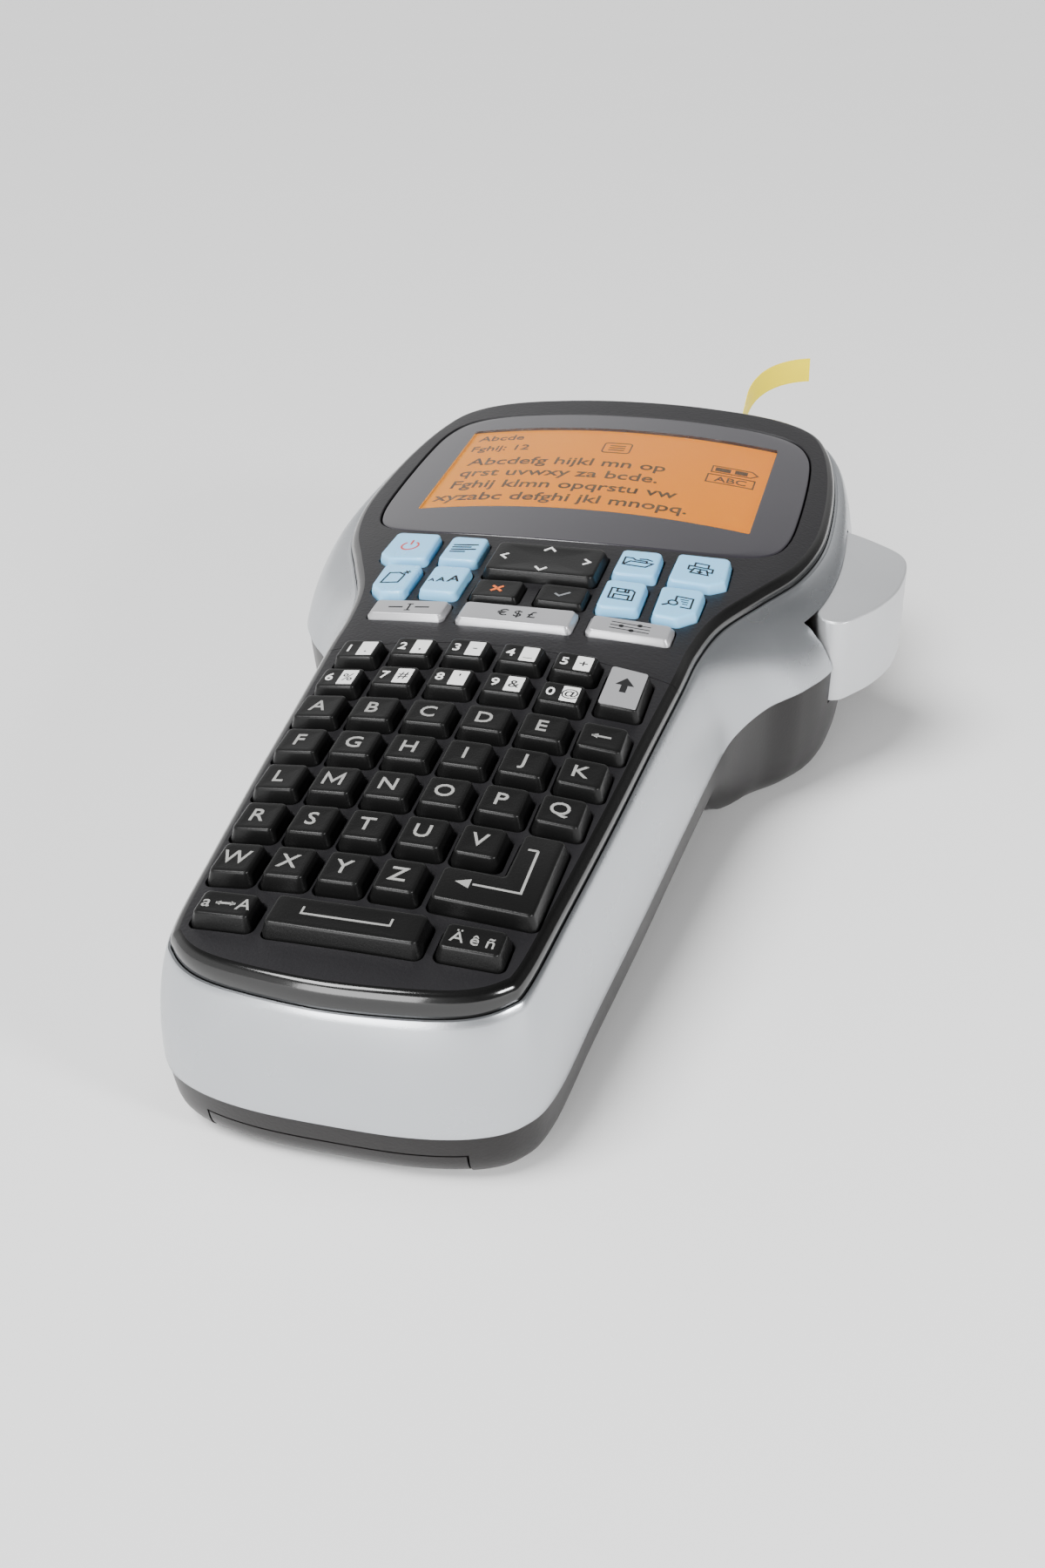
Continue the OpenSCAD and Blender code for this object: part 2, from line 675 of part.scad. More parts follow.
// ---- tape ----
spool_at = [-12, 163 + head_dy];
cass_wall = 1.4;
well_r = 23;
core_r = 4;
roll_r = 19;
key_bore_r = 2.2;
module cassette_case() color([0.85, 0.85, 0.82]) place() {
    difference() {
        union() {
            box([cass_x1 - cass_w, cass_y1 - cass_l, cass_top - cass_t], [cass_x1, cass_y1, cass_top]);
            box([cass_x1 - 1, cass_y1 - 22, cass_top - cass_t],
                [tape_x + 1.6, cass_y1 - 6, cass_top]);
        }
        translate([spool_at.x, spool_at.y, cass_top - cass_t + cass_wall])
            cylinder(r = well_r, h = cass_t - 2 * cass_wall, $fn = 96);
        translate([spool_at.x, spool_at.y, cass_top - cass_t - 1])
            cylinder(r = core_r + run_gap, h = cass_t + 2, $fn = 48);
        box([tape_x - 0.6, cass_y1 - 12, cass_top - cass_t / 2 - 6],
            [tape_x + 0.6, cass_y1, cass_top - cass_t / 2 + 6]);
    }
}
module tape_spool() color("gold") place() {
    translate([spool_at.x, spool_at.y, 0]) difference() {
        union() {
            translate([0, 0, tape_z - tape_w / 2]) cylinder(r = roll_r, h = tape_w, $fn = 96);
            translate([0, 0, cass_top - cass_t + 0.4])
                cylinder(r = core_r, h = cass_t - 0.8, $fn = 48);
        }
        translate([0, 0, -60]) cylinder(r = key_bore_r, h = 80, $fn = 6);
    }
}
// Path of the label: straight out of the slot, then a curl to the right
tape_start = cass_y1 - 10;
tape_bend = tape_exit_y + tape_straight;
tape_path = concat(
    [for (k = [0 : 6]) [tape_x, mix(tape_start, tape_bend, k / 6)]],
    [for (k = [1 : 10]) let (a = 180 - tip_turn * k / 10)
        [tape_x + curl_r + curl_r * cos(a), tape_bend + curl_r * sin(a)]]);
function tape_lift(i) = let (p = tape_path[i])
    tape_rise * ramp((p.y - body_l) / (tape_bend + curl_r - body_l));
module label_tape() color("yellow") place() {
    n = len(tape_path);
    rings = [for (i = [0 : n - 1])
        let (t = unit(tape_path[min(i + 1, n - 1)] - tape_path[max(i - 1, 0)]),
            s = [-t.y, t.x] * tape_t / 2, p = tape_path[i], z = tape_z + tape_lift(i))
        [[p.x - s.x, p.y - s.y, z - tape_w / 2], [p.x + s.x, p.y + s.y, z - tape_w / 2],
            [p.x + s.x, p.y + s.y, z + tape_w / 2], [p.x - s.x, p.y - s.y, z + tape_w / 2]]];
    sides = [for (i = [0 : n - 2]) for (k = [0 : 3])
        let (a = i * 4 + k, b = i * 4 + (k + 1) % 4)
        each [[a, a + 4, b + 4], [a, b + 4, b]]];
    e = (n - 1) * 4;
    polyhedron(points = [for (r = rings) each r],
        faces = concat(sides, [[0, 1, 2], [0, 2, 3], [e + 2, e + 1, e], [e + 3, e + 2, e]]));
}

// ---- print mechanism ----
sink_x = 15.5;
sink_t = 3;
head_hw = 5;
platen_low = -25;
platen_h = 14;
platen_shaft_h = 24.5;
module print_head() color("dimgray") place() {
    y0 = platen_at.y - head_hw;
    box([sink_x, y0, plate_z + frame_t + floor_gap],
        [sink_x + sink_t, y0 + 2 * head_hw, cass_top - 1]);
    box([sink_x + sink_t - 0.1, y0 + 2, tape_z - tape_w / 2 - 3],
        [tape_x - tape_t / 2 - 0.1, y0 + 2 * head_hw - 2, tape_z + tape_w / 2 + 2]);
}
module platen_roller() color([0.2, 0.2, 0.2]) place() {
    translate([platen_at.x, platen_at.y, platen_low])
        cylinder(r = platen_r, h = platen_h, $fn = 64);
    translate([platen_at.x, platen_at.y, plate_z])
        cylinder(r = platen_shaft_r, h = platen_shaft_h, $fn = 40);
}
// Involute tooth flank: point of the unwound string at angle t on the base circle
function string_point(rb, t) = rb * [cos(t) + t * PI / 180 * sin(t), sin(t) - t * PI / 180 * cos(t)];
function turn(p, a) = [p.x * cos(a) - p.y * sin(a), p.x * sin(a) + p.y * cos(a)];
pressure = 20;
gear_play = 0.06;
tip_share = 0.85;
root_share = 1.2;
module gear(teeth, bore, start) {
    rp = gear_m * teeth / 2;
    rb = rp * cos(pressure);
    ra = rp + tip_share * gear_m;
    rr = rp - root_share * gear_m;
    t_p = tan(pressure) * 180 / PI;
    t_a = sqrt(ra * ra / rb / rb - 1) * 180 / PI;
    half = 90 / teeth - gear_play / rp * 180 / PI + (t_p - pressure);
    flank = [for (k = [0 : 4]) turn(string_point(rb, t_a * k / 4), -half)];
    tooth = concat([turn([rr, 0], -half)], flank,
        [for (k = [4 : -1 : 0]) [flank[k].x, -flank[k].y]], [turn([rr, 0], half)]);
    difference() {
        linear_extrude(height = gear_t)
            polygon([for (i = [0 : teeth - 1]) each [for (p = tooth)
                turn(p, start + i * 360 / teeth)]]);
        translate([0, 0, -1]) cylinder(r = bore, h = gear_t + 2, $fn = 40);
    }
}
// Rotation of a gear that follows another across the line of centres
function mesh_start(teeth, other_teeth, other_start, line) =
    line + 180 - (0.5 - (line - other_start) * other_teeth / 360) * 360 / teeth;
idler_start = mesh_start(idler_n, platen_n, 0, line_angle);
pinion_start = mesh_start(pinion_n, idler_n, idler_start, line_angle);
module platen_gear() color("ivory") place() translate([platen_at.x, platen_at.y, gear_z])
    gear(platen_n, platen_shaft_r + 0.02, 0);
module idler_gear() color("ivory") place() translate([idler_at.x, idler_at.y, gear_z])
    gear(idler_n, idler_post_r + run_gap, idler_start);
module motor_pinion() color("gold") place() translate([pinion_at.x, pinion_at.y, 0]) {
    translate([0, 0, gear_z]) gear(pinion_n, motor_shaft_r - 0.5, pinion_start);
    translate([0, 0, plate_z - shaft_depth])
        cylinder(r = motor_shaft_r, h = gear_z + gear_t - plate_z + shaft_depth, $fn = 40);
}
module drive_motor() color("silver") place() translate([pinion_at.x, pinion_at.y, 0]) {
    difference() {
        translate([0, 0, plate_z - floor_gap - motor_l])
            cylinder(r = motor_r, h = motor_l, $fn = 72);
        translate([0, 0, plate_z - shaft_depth - 1]) cylinder(r = motor_shaft_r + run_gap, h = 10, $fn = 40);
    }
}
// Bracket that carries the blade's guide
guide_x = [10, 13.5, 34];
guide_hw = 2.6;
guide_t = 1;
socket_r = 3.4;
module mech_frame() color("gray") place() {
    dy = head_dy;
    difference() {
        union() {
            translate([0, 0, plate_z]) linear_extrude(height = frame_t) polygon([
                [20, 150 + dy], [51 * width_k, 150 + dy], [51 * width_k, 180 + dy],
                [44 * width_k, 202 + dy], [37, 211 + dy], [34, 213 + dy],
                [10, 213 + dy], [10, 197 + dy], [20, 197 + dy]]);
            box([guide_x[0], blade_y - guide_hw, plate_z],
                [guide_x[1], blade_y + guide_hw, blade_base_z - floor_gap]);
            box([guide_x[0], blade_y - guide_hw, blade_base_z - floor_gap - guide_t],
                [guide_x[2], blade_y + guide_hw, blade_base_z - floor_gap]);
            translate([idler_at.x, idler_at.y, plate_z])
                cylinder(r = idler_post_r, h = gear_z + gear_t + 0.4 - plate_z, $fn = 40);
            translate([pivot_at.x, pivot_at.y, plate_z]) cylinder(r = socket_r, h = 3, $fn = 48);
        }
        translate([platen_at.x, platen_at.y, -50])
            cylinder(r = platen_shaft_r + run_gap, h = 40, $fn = 40);
        translate([pinion_at.x, pinion_at.y, -50]) cylinder(r = motor_shaft_r + 0.6, h = 40, $fn = 40);
        translate([pivot_at.x, pivot_at.y, -50]) cylinder(r = pivot_r + 0.02, h = 40, $fn = 40);
    }
}

// ---- cutter ----
wing = [[1.5, 2.5], [4, -20], [8.5, -38.5], [13.5, -39.5], [17, -34], [20.5, -27],
    [22.6, -19], [23, -12], [21.6, -6], [16, -1], [9, 3.6], [4, 4]];
module cutter_lever() color([0.85, 0.86, 0.88]) place() translate([pivot_at.x, pivot_at.y, 0]) {
    difference() {
        union() {
            translate([0, 0, lever_top - lever_t]) linear_extrude(height = lever_t) polygon(wing);
            translate([0, 0, lever_top - lever_t])
                cylinder(r = hub_r, h = hub_top - lever_top + lever_t, $fn = 48);
            translate([0, 0, arm_z]) linear_extrude(height = arm_t) polygon([
                [-2.6, 0], [2.6, 0], arm_at + [2, 0], arm_at + [-2, 0]]);
            translate([arm_at.x, arm_at.y, arm_z]) cylinder(r = 2.4, h = arm_t, $fn = 40);
            translate([arm_at.x, arm_at.y, blade_base_z + 0.2])
                cylinder(r = arm_pin_r, h = arm_z - blade_base_z, $fn = 40);
        }
        translate([0, 0, hub_top]) cylinder(r = hub_r + 0.2, h = 10, $fn = 48);
        translate([0, 0, -50]) cylinder(r = pivot_r + run_gap, h = 60, $fn = 48);
    }
}
module cutter_pivot_pin() color("silver") place() {
    translate([pivot_at.x, pivot_at.y, plate_z])
        cylinder(r = pivot_r, h = lever_top - 0.4 - plate_z, $fn = 48);
}
blade_travel = 6.02;
blade_base_t = 1.6;
blade_rest_gap = 0.3;
lug_hw = 3.2;
module cutter_blade() color("silver") place() {
    pin = pivot_at + arm_at;
    edge_x = tape_x - tape_t / 2 - blade_rest_gap - blade_travel;
    base_top = blade_base_z + blade_base_t;
    slot_hw = arm_pin_r + 0.35;
    difference() {
        union() {
            box([edge_x - 5, blade_y - 1.4, blade_base_z], [pin.x - 1, blade_y + 1.4, base_top]);
            box([edge_x - 5, blade_y - 0.3, blade_base_z + 1],
                [edge_x, blade_y + 0.3, tape_z + tape_w / 2 + 1.5]);
            box([pin.x - lug_hw, pin.y - 3.5, blade_base_z],
                [pin.x + lug_hw, pin.y + 4.6, base_top]);
            box([pin.x - lug_hw, pin.y + 3, blade_base_z], [pin.x - 1, blade_y, base_top]);
        }
        box([pin.x - slot_hw, pin.y - 2.2, -40], [pin.x + slot_hw, pin.y + 3.2, 0]);
    }
}
spring_turns = 3;
spring_wire = 0.45;
module cutter_spring() color("silver") place() {
    n = 14 * spring_turns;
    rings = [for (i = [0 : n]) let (a = i * 360 / 14) [for (k = [0 : 5])
        let (w = k * 60, r = 2.7 + spring_wire / 2 * cos(w))
        [pivot_at.x + r * cos(a), pivot_at.y + r * sin(a),
            hub_top + 0.5 + i / 14 * 0.9 + spring_wire / 2 * sin(w)]]];
    e = n * 6;
    polyhedron(points = [for (r = rings) each r], faces = concat(
        [for (i = [0 : n - 1]) for (k = [0 : 5])
            let (a = i * 6 + k, b = i * 6 + (k + 1) % 6) each [[a, b + 6, a + 6], [a, b, b + 6]]],
        [[5, 4, 3, 2, 1, 0], [e, e + 1, e + 2, e + 3, e + 4, e + 5]]));
}

// ---- sockets ----
jack_at = [-30, 211 + head_dy, -30];
usb_at = [-15, 213 + head_dy, -30];
socket_gap = 0.2;
jack_r = 3.5;
jack_bore_r = 2.75;
jack_pin_r = 1.05;
usb_hw = 3.85;
usb_hh = 1.95;
usb_wall = 0.5;
module jack_holes() {
    translate(jack_at) rotate([-90, 0, 0]) cylinder(r = jack_r + socket_gap, h = 20, $fn = 48);
    box([usb_at.x - usb_hw - 0.35, usb_at.y, usb_at.z - usb_hh - 0.35],
        [usb_at.x + usb_hw + 0.35, usb_at.y + 20, usb_at.z + usb_hh + 0.35]);
}
module dc_jack() color([0.15, 0.15, 0.15]) place() translate(jack_at) {
    difference() {
        union() {
            box([-4.5, -11, -5], [4.5, 1.8, 5]);
            rotate([-90, 0, 0]) cylinder(r = jack_r, h = 6, $fn = 48);
        }
        translate([0, -3, 0]) rotate([-90, 0, 0]) cylinder(r = jack_bore_r, h = 12, $fn = 48);
    }
    translate([0, -4, 0]) rotate([-90, 0, 0]) cylinder(r = jack_pin_r, h = 8.5, $fn = 32);
}
module usb_port() color("silver") place() translate(usb_at) {
    difference() {
        box([-usb_hw, -5.5, -usb_hh], [usb_hw, 4.6, usb_hh]);
        box([usb_wall - usb_hw, -3, usb_wall - usb_hh], [usb_hw - usb_wall, 6, usb_hh - usb_wall]);
    }
    box([-2.4, -3.5, -0.4], [2.4, 3.4, 0.4]);
}

// ---- fasteners and feet ----
module case_screws() color("gray") place() {
    for (p = screw_at, s = [-1, 1]) translate([s * p.x, p.y, 0]) difference() {
        union() {
            translate([0, 0, base_z(p.y, 0) + 0.7]) cylinder(r = screw_head_r, h = 1.6, $fn = 40);
            translate([0, 0, base_z(p.y, 0) + 2]) cylinder(r = screw_r - 0.05,
                h = boss_top + screw_grip - base_z(p.y, 0) - 2, $fn = 40);
        }
        translate([0, 0, base_z(p.y, 0)]) cylinder(r = 1.1, h = 1.6, $fn = 6);
    }
}
front_foot = [21.6, 11.5];
module rubber_feet() color([0.15, 0.15, 0.15]) {
    intersection() {
        place() for (s = [-1, 1]) translate([s * front_foot.x * width_k, front_foot.y, -grip_depth - 4])
            cylinder(r = 1.5, h = 4, $fn = 40);
        box([-60, -220, 0], [60, 0, 10]);
    }
    box([-25, -2.5, 0], [25, 2.5, foot_h]);
    for (s = [-1, 1]) translate([s * 43 * width_k, door_line(166 + head_dy), 0]) {
        box([-2, -10, 0], [2, 10, foot_h]);
    }
}

// ---- keys ----
nav_drop = 0.95;
gimbal_t = 0.9;
gimbal_gap = 0.3;
module nav_gimbal() color("gray") place() {
    c = centre(nav_q);
    foot_z = top_z(0, c.y) - key_foot_z - flange_t - nav_drop;
    translate([c.x, c.y, foot_z - gimbal_gap - gimbal_t]) cylinder(r = 3, h = gimbal_t, $fn = 48);
}
module nav_pad() color([0.12, 0.12, 0.12]) place()
    key_solid(nav_q, func_h + 0.2, true, drop = nav_drop);
module blue_key(q) { color("lightblue") place() key_solid(q, func_h, true); }
module power_key() blue_key(mirror_key(outer_high_q));
module format_key() blue_key(mirror_key(format_q));
module new_label_key() blue_key(mirror_key(outer_low_q));
module size_key() blue_key(mirror_key(size_q));
module open_key() blue_key(format_q);
module print_key() blue_key(outer_high_q);
module save_key() blue_key(size_q);
module preview_key() blue_key(outer_low_q);
bar_h = 1.1;
module dark_key(q) { color([0.12, 0.12, 0.12]) place() key_solid(q, bar_h + 0.1, true); }
module cancel_key() dark_key(mirror_key(ok_q));
module ok_key() dark_key(ok_q);
module bar_key(q) { color("silver") place() key_solid(q, bar_h, true); }
module insert_key() bar_key(mirror_key(bar_q));
module symbols_key() bar_key(symbols_q);
module settings_key() bar_key(bar_q);
module black_keys(list) { color([0.1, 0.1, 0.1]) place() for (q = list) key_solid(q, key_h); }
module shift_key() black_keys([shift_q]);
module backspace_key() black_keys([letter_key(5, 0)]);
module enter_key() color([0.1, 0.1, 0.1]) place()
    key_solid(enter_q, key_h, foot = enter_foot_q);
module caps_key() black_keys([caps_q]);
module space_key() black_keys([space_q]);
module accent_key() black_keys([accent_q]);
module digits_row(k) black_keys([for (c = [0 : 4]) digit_key(c, k)]);
// Keys in each letter row; the backspace takes the end of the first
row_count = [5, 6, 6, 5, 4];
module letters_row(r) black_keys([for (c = [0 : row_count[r] - 1]) letter_key(c, r)]);

display_bezel();
keypad_bezel();
side_band();
bottom_shell();
display_window();
lcd_module();
main_pcb();
keypad_mat();
battery_cover();
battery_pack();
battery_contacts();
cassette_door();
door_hinge_pin();
cassette_case();
tape_spool();
label_tape();
print_head();
platen_roller();
platen_gear();
idler_gear();
drive_motor();
motor_pinion();
mech_frame();
cutter_lever();
cutter_pivot_pin();
cutter_blade();
cutter_spring();
dc_jack();
usb_port();
case_screws();
rubber_feet();
nav_gimbal();
nav_pad();
power_key();
format_key();
new_label_key();
size_key();
open_key();
print_key();
save_key();
preview_key();
cancel_key();
ok_key();
insert_key();
symbols_key();
settings_key();
shift_key();
backspace_key();
enter_key();
caps_key();
space_key();
accent_key();
digits_row(0);  // digits_far_row
digits_row(1);  // digits_near_row
letters_row(0);  // letters_row_1
letters_row(1);  // letters_row_2
letters_row(2);  // letters_row_3
letters_row(3);  // letters_row_4
letters_row(4);  // letters_row_5
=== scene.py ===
import json
import math

import bmesh
import bpy
import numpy as np
from mathutils import Matrix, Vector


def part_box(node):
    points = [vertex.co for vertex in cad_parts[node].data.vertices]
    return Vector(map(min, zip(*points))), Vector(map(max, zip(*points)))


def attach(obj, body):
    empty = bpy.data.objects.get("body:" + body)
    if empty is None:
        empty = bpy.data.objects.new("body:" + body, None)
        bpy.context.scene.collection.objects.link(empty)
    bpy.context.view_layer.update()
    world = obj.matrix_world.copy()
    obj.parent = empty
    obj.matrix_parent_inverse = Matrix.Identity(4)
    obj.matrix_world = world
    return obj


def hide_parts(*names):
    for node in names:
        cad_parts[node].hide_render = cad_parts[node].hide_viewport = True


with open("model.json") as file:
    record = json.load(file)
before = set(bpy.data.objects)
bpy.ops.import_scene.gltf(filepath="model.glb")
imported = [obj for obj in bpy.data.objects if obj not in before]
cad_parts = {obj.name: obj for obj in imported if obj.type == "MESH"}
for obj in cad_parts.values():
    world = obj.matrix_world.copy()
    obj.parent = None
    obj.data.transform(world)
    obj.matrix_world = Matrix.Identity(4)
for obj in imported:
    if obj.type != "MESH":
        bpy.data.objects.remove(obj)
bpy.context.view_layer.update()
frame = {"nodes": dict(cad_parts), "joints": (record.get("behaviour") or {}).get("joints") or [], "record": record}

bl_info = {
    "name": "Label maker",
    "version": (1, 0, 0),
    "blender": (4, 5, 0),
    "location": "3D View > Sidebar > Label Maker",
    "description": "Builds the outer surfaces, legends, finishes and studio of a handheld label maker",
    "category": "Add Mesh",
}

MM = 0.001
BODY_OF = {n: b for b, ns in frame["record"]["behaviour"]["bodies"].items() for n in ns}

# ---- the body frame: x right, y from the front to the display, z up from the keypad plate, in mm ----
PRESS = next(j["axis"] for j in frame["joints"] if j["name"] == "space_press")
TILT = math.atan2(PRESS[1], -PRESS[2])
COS, SIN = math.cos(TILT), math.sin(TILT)
REST_Z = 31.6
FOOT_LINE = 123.0
FOOT_H = 0.8
REST_Y = (FOOT_H - REST_Z - FOOT_LINE * SIN) / COS * SIN - FOOT_LINE * COS
CROWN_R = 231.5
HEAD_TILT = math.tan(math.radians(1.2))
SPLIT_Y = 93.2
SPLIT_R = 128.0
BODY_L = 219.5
PLATE_T = 2.0
SKIRT = 4.0
BAND_LOW = 22.6
BAND_RIM = 0.6
SEAM = 0.15
WALL = 2.2
GRIP_DEPTH = 32.0
STEP_Y = (96.0, 117.0)

RIM_HALF = [(0, 1.8), (12, 2.9), (20, 5), (25, 8.6), (27, 13), (28.5, 28), (30.4, 50), (32, 72), (33.5, 91),
            (34.3, 103), (36.6, 115), (42, 128), (47.5, 141), (50.6, 156), (51, 172), (49.8, 189), (47, 203),
            (42.5, 211.5), (33, 215.5), (16, 216), (0, 216)]
LOW_HALF = [(0, -1.2), (12, -0.8), (21, 1.1), (26.8, 4.7), (29.9, 11.5), (31.7, 29), (34.2, 52), (36.5, 76),
            (38.6, 96), (40.4, 106), (44.9, 116.5), (51.2, 124.5), (55.7, 134), (57, 150), (55.9, 170),
            (53.4, 189), (49.6, 204), (43.5, 213.5), (33, 218), (16, 219.3), (0, 219.5)]
WINDOW_HALF = [(0, 136.9), (18, 138), (32, 140.3), (40, 144.5), (43.2, 152), (44, 166), (43.6, 186),
               (42, 197), (37.5, 203), (27, 205), (13, 204.4), (0, 204.2)]


def to_table(p):
    """Body frame in mm to the table frame in metres: a turn about X by the tilt, then a shift."""
    p = np.asarray(p, float)
    y, z = p[..., 1], p[..., 2]
    return np.stack([p[..., 0], y * COS - z * SIN + REST_Y, y * SIN + z * COS + REST_Z], -1) * MM


def level_z(y, h):
    """Body-frame height of the level h above the table."""
    return (h - REST_Z - y * SIN) / COS


def top_z(x, y):
    """Crowned plate: a circle of radius CROWN_R across, sloping down past the split."""
    return np.sqrt(CROWN_R ** 2 - x * x) - CROWN_R - np.maximum(0, y - SPLIT_Y) * HEAD_TILT


def rim_z(x, y):
    """Upper edge of the side band: below the crown, and deeper at the front."""
    return top_z(x, y) - 2.3 - 1.6 * np.exp(-(y / 9) ** 2)


# ---- outlines ----
def outline(half, n):
    """Catmull-Rom curve through the right half's points, with its mirror image, counter-clockwise."""
    p = np.array(half, float)
    flip = np.array([-1.0, 1.0])
    a = np.vstack([p[1:2] * flip, p[:-2]])[:, None]
    b, c = p[:-1, None], p[1:, None]
    d = np.vstack([p[2:], p[-2:-1] * flip])[:, None]
    t = (np.arange(n) / n)[None, :, None]
    curve = 0.5 * (2 * b + (c - a) * t + (2 * a - 5 * b + 4 * c - d) * t ** 2
                   + (3 * b - a - 3 * c + d) * t ** 3)
    right = np.vstack([curve.reshape(-1, 2), p[-1:]])
    return np.vstack([right, right[-2:0:-1] * flip])


def closed_curve(points, n):
    """Closed Catmull-Rom curve through the points."""
    b = np.array(points, float)
    a, c, d = (np.roll(b, k, 0)[:, None] for k in (1, -1, -2))
    b = b[:, None]
    t = (np.arange(n) / n)[None, :, None]
    return (0.5 * (2 * b + (c - a) * t + (2 * a - 5 * b + 4 * c - d) * t ** 2
                   + (3 * b - a - 3 * c + d) * t ** 3)).reshape(-1, 2)


def inset(ring, d):
    """The ring moved inwards by d along its own normals."""
    t = np.roll(ring, -1, 0) - np.roll(ring, 1, 0)
    t /= np.linalg.norm(t, axis=1, keepdims=True)
    return ring + np.stack([-t[:, 1], t[:, 0]], 1) * np.reshape(d, (-1, 1))


def rounded(corners, grow, radius, steps=5):
    """Polygon moved outwards by grow, with each corner turned into an arc."""
    p = np.array(corners, float)
    back, ahead = p - np.roll(p, 1, 0), np.roll(p, -1, 0) - p
    back /= np.linalg.norm(back, axis=1, keepdims=True)
    ahead /= np.linalg.norm(ahead, axis=1, keepdims=True)
    nb, na = np.stack([-back[:, 1], back[:, 0]], 1), np.stack([-ahead[:, 1], ahead[:, 0]], 1)
    v = p - (nb + na) * grow / (1 + (nb * na).sum(1, keepdims=True))
    turn = np.arctan2(back[:, 0] * ahead[:, 1] - back[:, 1] * ahead[:, 0], (back * ahead).sum(1))
    r = radius * np.sign(turn)
    start = v - back * np.abs(radius * np.tan(turn / 2))[:, None]
    centre = start + nb * r[:, None]
    a = turn[:, None] * np.linspace(0, 1, steps + 1)[None, :]
    arm = (start - centre)[:, None, :]
    x = arm[..., 0] * np.cos(a) - arm[..., 1] * np.sin(a)
    y = arm[..., 0] * np.sin(a) + arm[..., 1] * np.cos(a)
    return (centre[:, None, :] + np.stack([x, y], -1)).reshape(-1, 2)


def ramp(t):
    """Smooth step from 0 to 1."""
    u = np.clip(t, 0, 1)
    return u * u * (3 - 2 * u)


RIM = outline(RIM_HALF, 9)
LOW = outline(LOW_HALF, 9)
WINDOW = outline(WINDOW_HALF, 9)


# ---- surfaces: each gives a list of (points, faces) patches ----
def with_z(ring, z):
    """A plan ring lifted to z."""
    return np.column_stack([ring, np.broadcast_to(z, len(ring))])


def grid_faces(rows, cols, wrap_rows=False, wrap_cols=False):
    """Quads between neighbouring points of a grid."""
    r = np.arange(rows if wrap_rows else rows - 1)[:, None]
    c = np.arange(cols if wrap_cols else cols - 1)[None, :]
    r1, c1 = (r + 1) % rows, (c + 1) % cols
    return np.stack(np.broadcast_arrays(r * cols + c, r * cols + c1, r1 * cols + c1, r1 * cols + c),
                    -1).reshape(-1, 4)


def loft(rings, loop=False):
    """Skin through rings of equal count."""
    g = np.array(rings, float)
    return [(g.reshape(-1, 3), grid_faces(g.shape[0], g.shape[1], loop, True))]


def ladder(ring, surface=None, across=1):
    """Fill of a symmetric ring: rows join its right and left points, lifted onto a surface."""
    n = len(ring)
    h = n // 2
    right, left = ring[:h + 1], ring[(n - np.arange(h + 1)) % n]
    t = np.linspace(0, 1, across + 1)[None, :, None]
    g = right[:, None] * (1 - t) + left[:, None] * t
    if surface is not None:
        g[:, 1:-1, 2] = surface(g[:, 1:-1, 0], g[:, 1:-1, 1])
    return [(g.reshape(-1, 3), grid_faces(h + 1, across + 1))]


def lid(ring):
    """One flat face over a ring."""
    return [(np.array(ring, float), [list(range(len(ring)))])]


def solid(rings):
    """Skin through rings with a lid on each end."""
    return loft(rings) + lid(rings[0]) + lid(rings[-1])


def block(lo, hi):
    """Box between two corners."""
    ring = rounded([(lo[0], lo[1]), (hi[0], lo[1]), (hi[0], hi[1]), (lo[0], hi[1])], 0, 1e-3, 1)
    low, high = with_z(ring, lo[2]), with_z(ring, hi[2])
    return solid([low, high])


def drum(centre, axis, radius, length, n=48):
    """Round bar that starts at centre and runs along x (0), y (1) or z (2)."""
    a = np.arange(n) / n * 2 * math.pi
    ring = np.zeros((n, 3))
    ring[:, (axis + 1) % 3], ring[:, (axis + 2) % 3] = radius * np.cos(a), radius * np.sin(a)
    low = ring + np.array(centre, float)
    high = low.copy()
    high[:, axis] += length
    return solid([low, high])


# ---- meshes ----
def put_in_scene(name, data):
    """A new object in the scene that holds the data."""
    holder = bpy.data.objects.new(name, data)
    bpy.context.scene.collection.objects.link(holder)
    return holder


def mesh_of(name, patches, table):
    """A closed mesh from patches: seams merged, normals outward, in metres."""
    points, faces, coats, base = [], [], [], 0
    for p, f, *coat in patches:
        points.append(p)
        faces += (np.asarray(f) + base).tolist()
        coats += list(coat or (0,)) * len(f)
        base += len(p)
    p = np.vstack(points)
    mesh = bpy.data.meshes.new(name)
    mesh.from_pydata((p * MM if table else to_table(p)).tolist(), [], faces)
    mesh.polygons.foreach_set("material_index", coats)
    bm = bmesh.new()
    bm.from_mesh(mesh)
    bmesh.ops.remove_doubles(bm, verts=bm.verts, dist=2e-6)
    bmesh.ops.recalc_face_normals(bm, faces=bm.faces)
    bm.to_mesh(mesh)
    bm.free()
    return mesh


def shade(mesh, angle):
    """Smooth shading, with edges over the angle kept sharp."""
    mesh.shade_smooth()
    mesh.set_sharp_from_angle(angle=math.radians(angle))


def coated(patches):
    """The same patches, set to a piece's second finish."""
    return [(p, f, 1) for p, f in patches]


def add(name, patches, table=False, finishes=()):
    """A new object at the origin with its place in its mesh."""
    piece = put_in_scene(name, mesh_of(name, patches, table))
    for f in finishes:
        piece.data.materials.append(finish(f))
    return piece


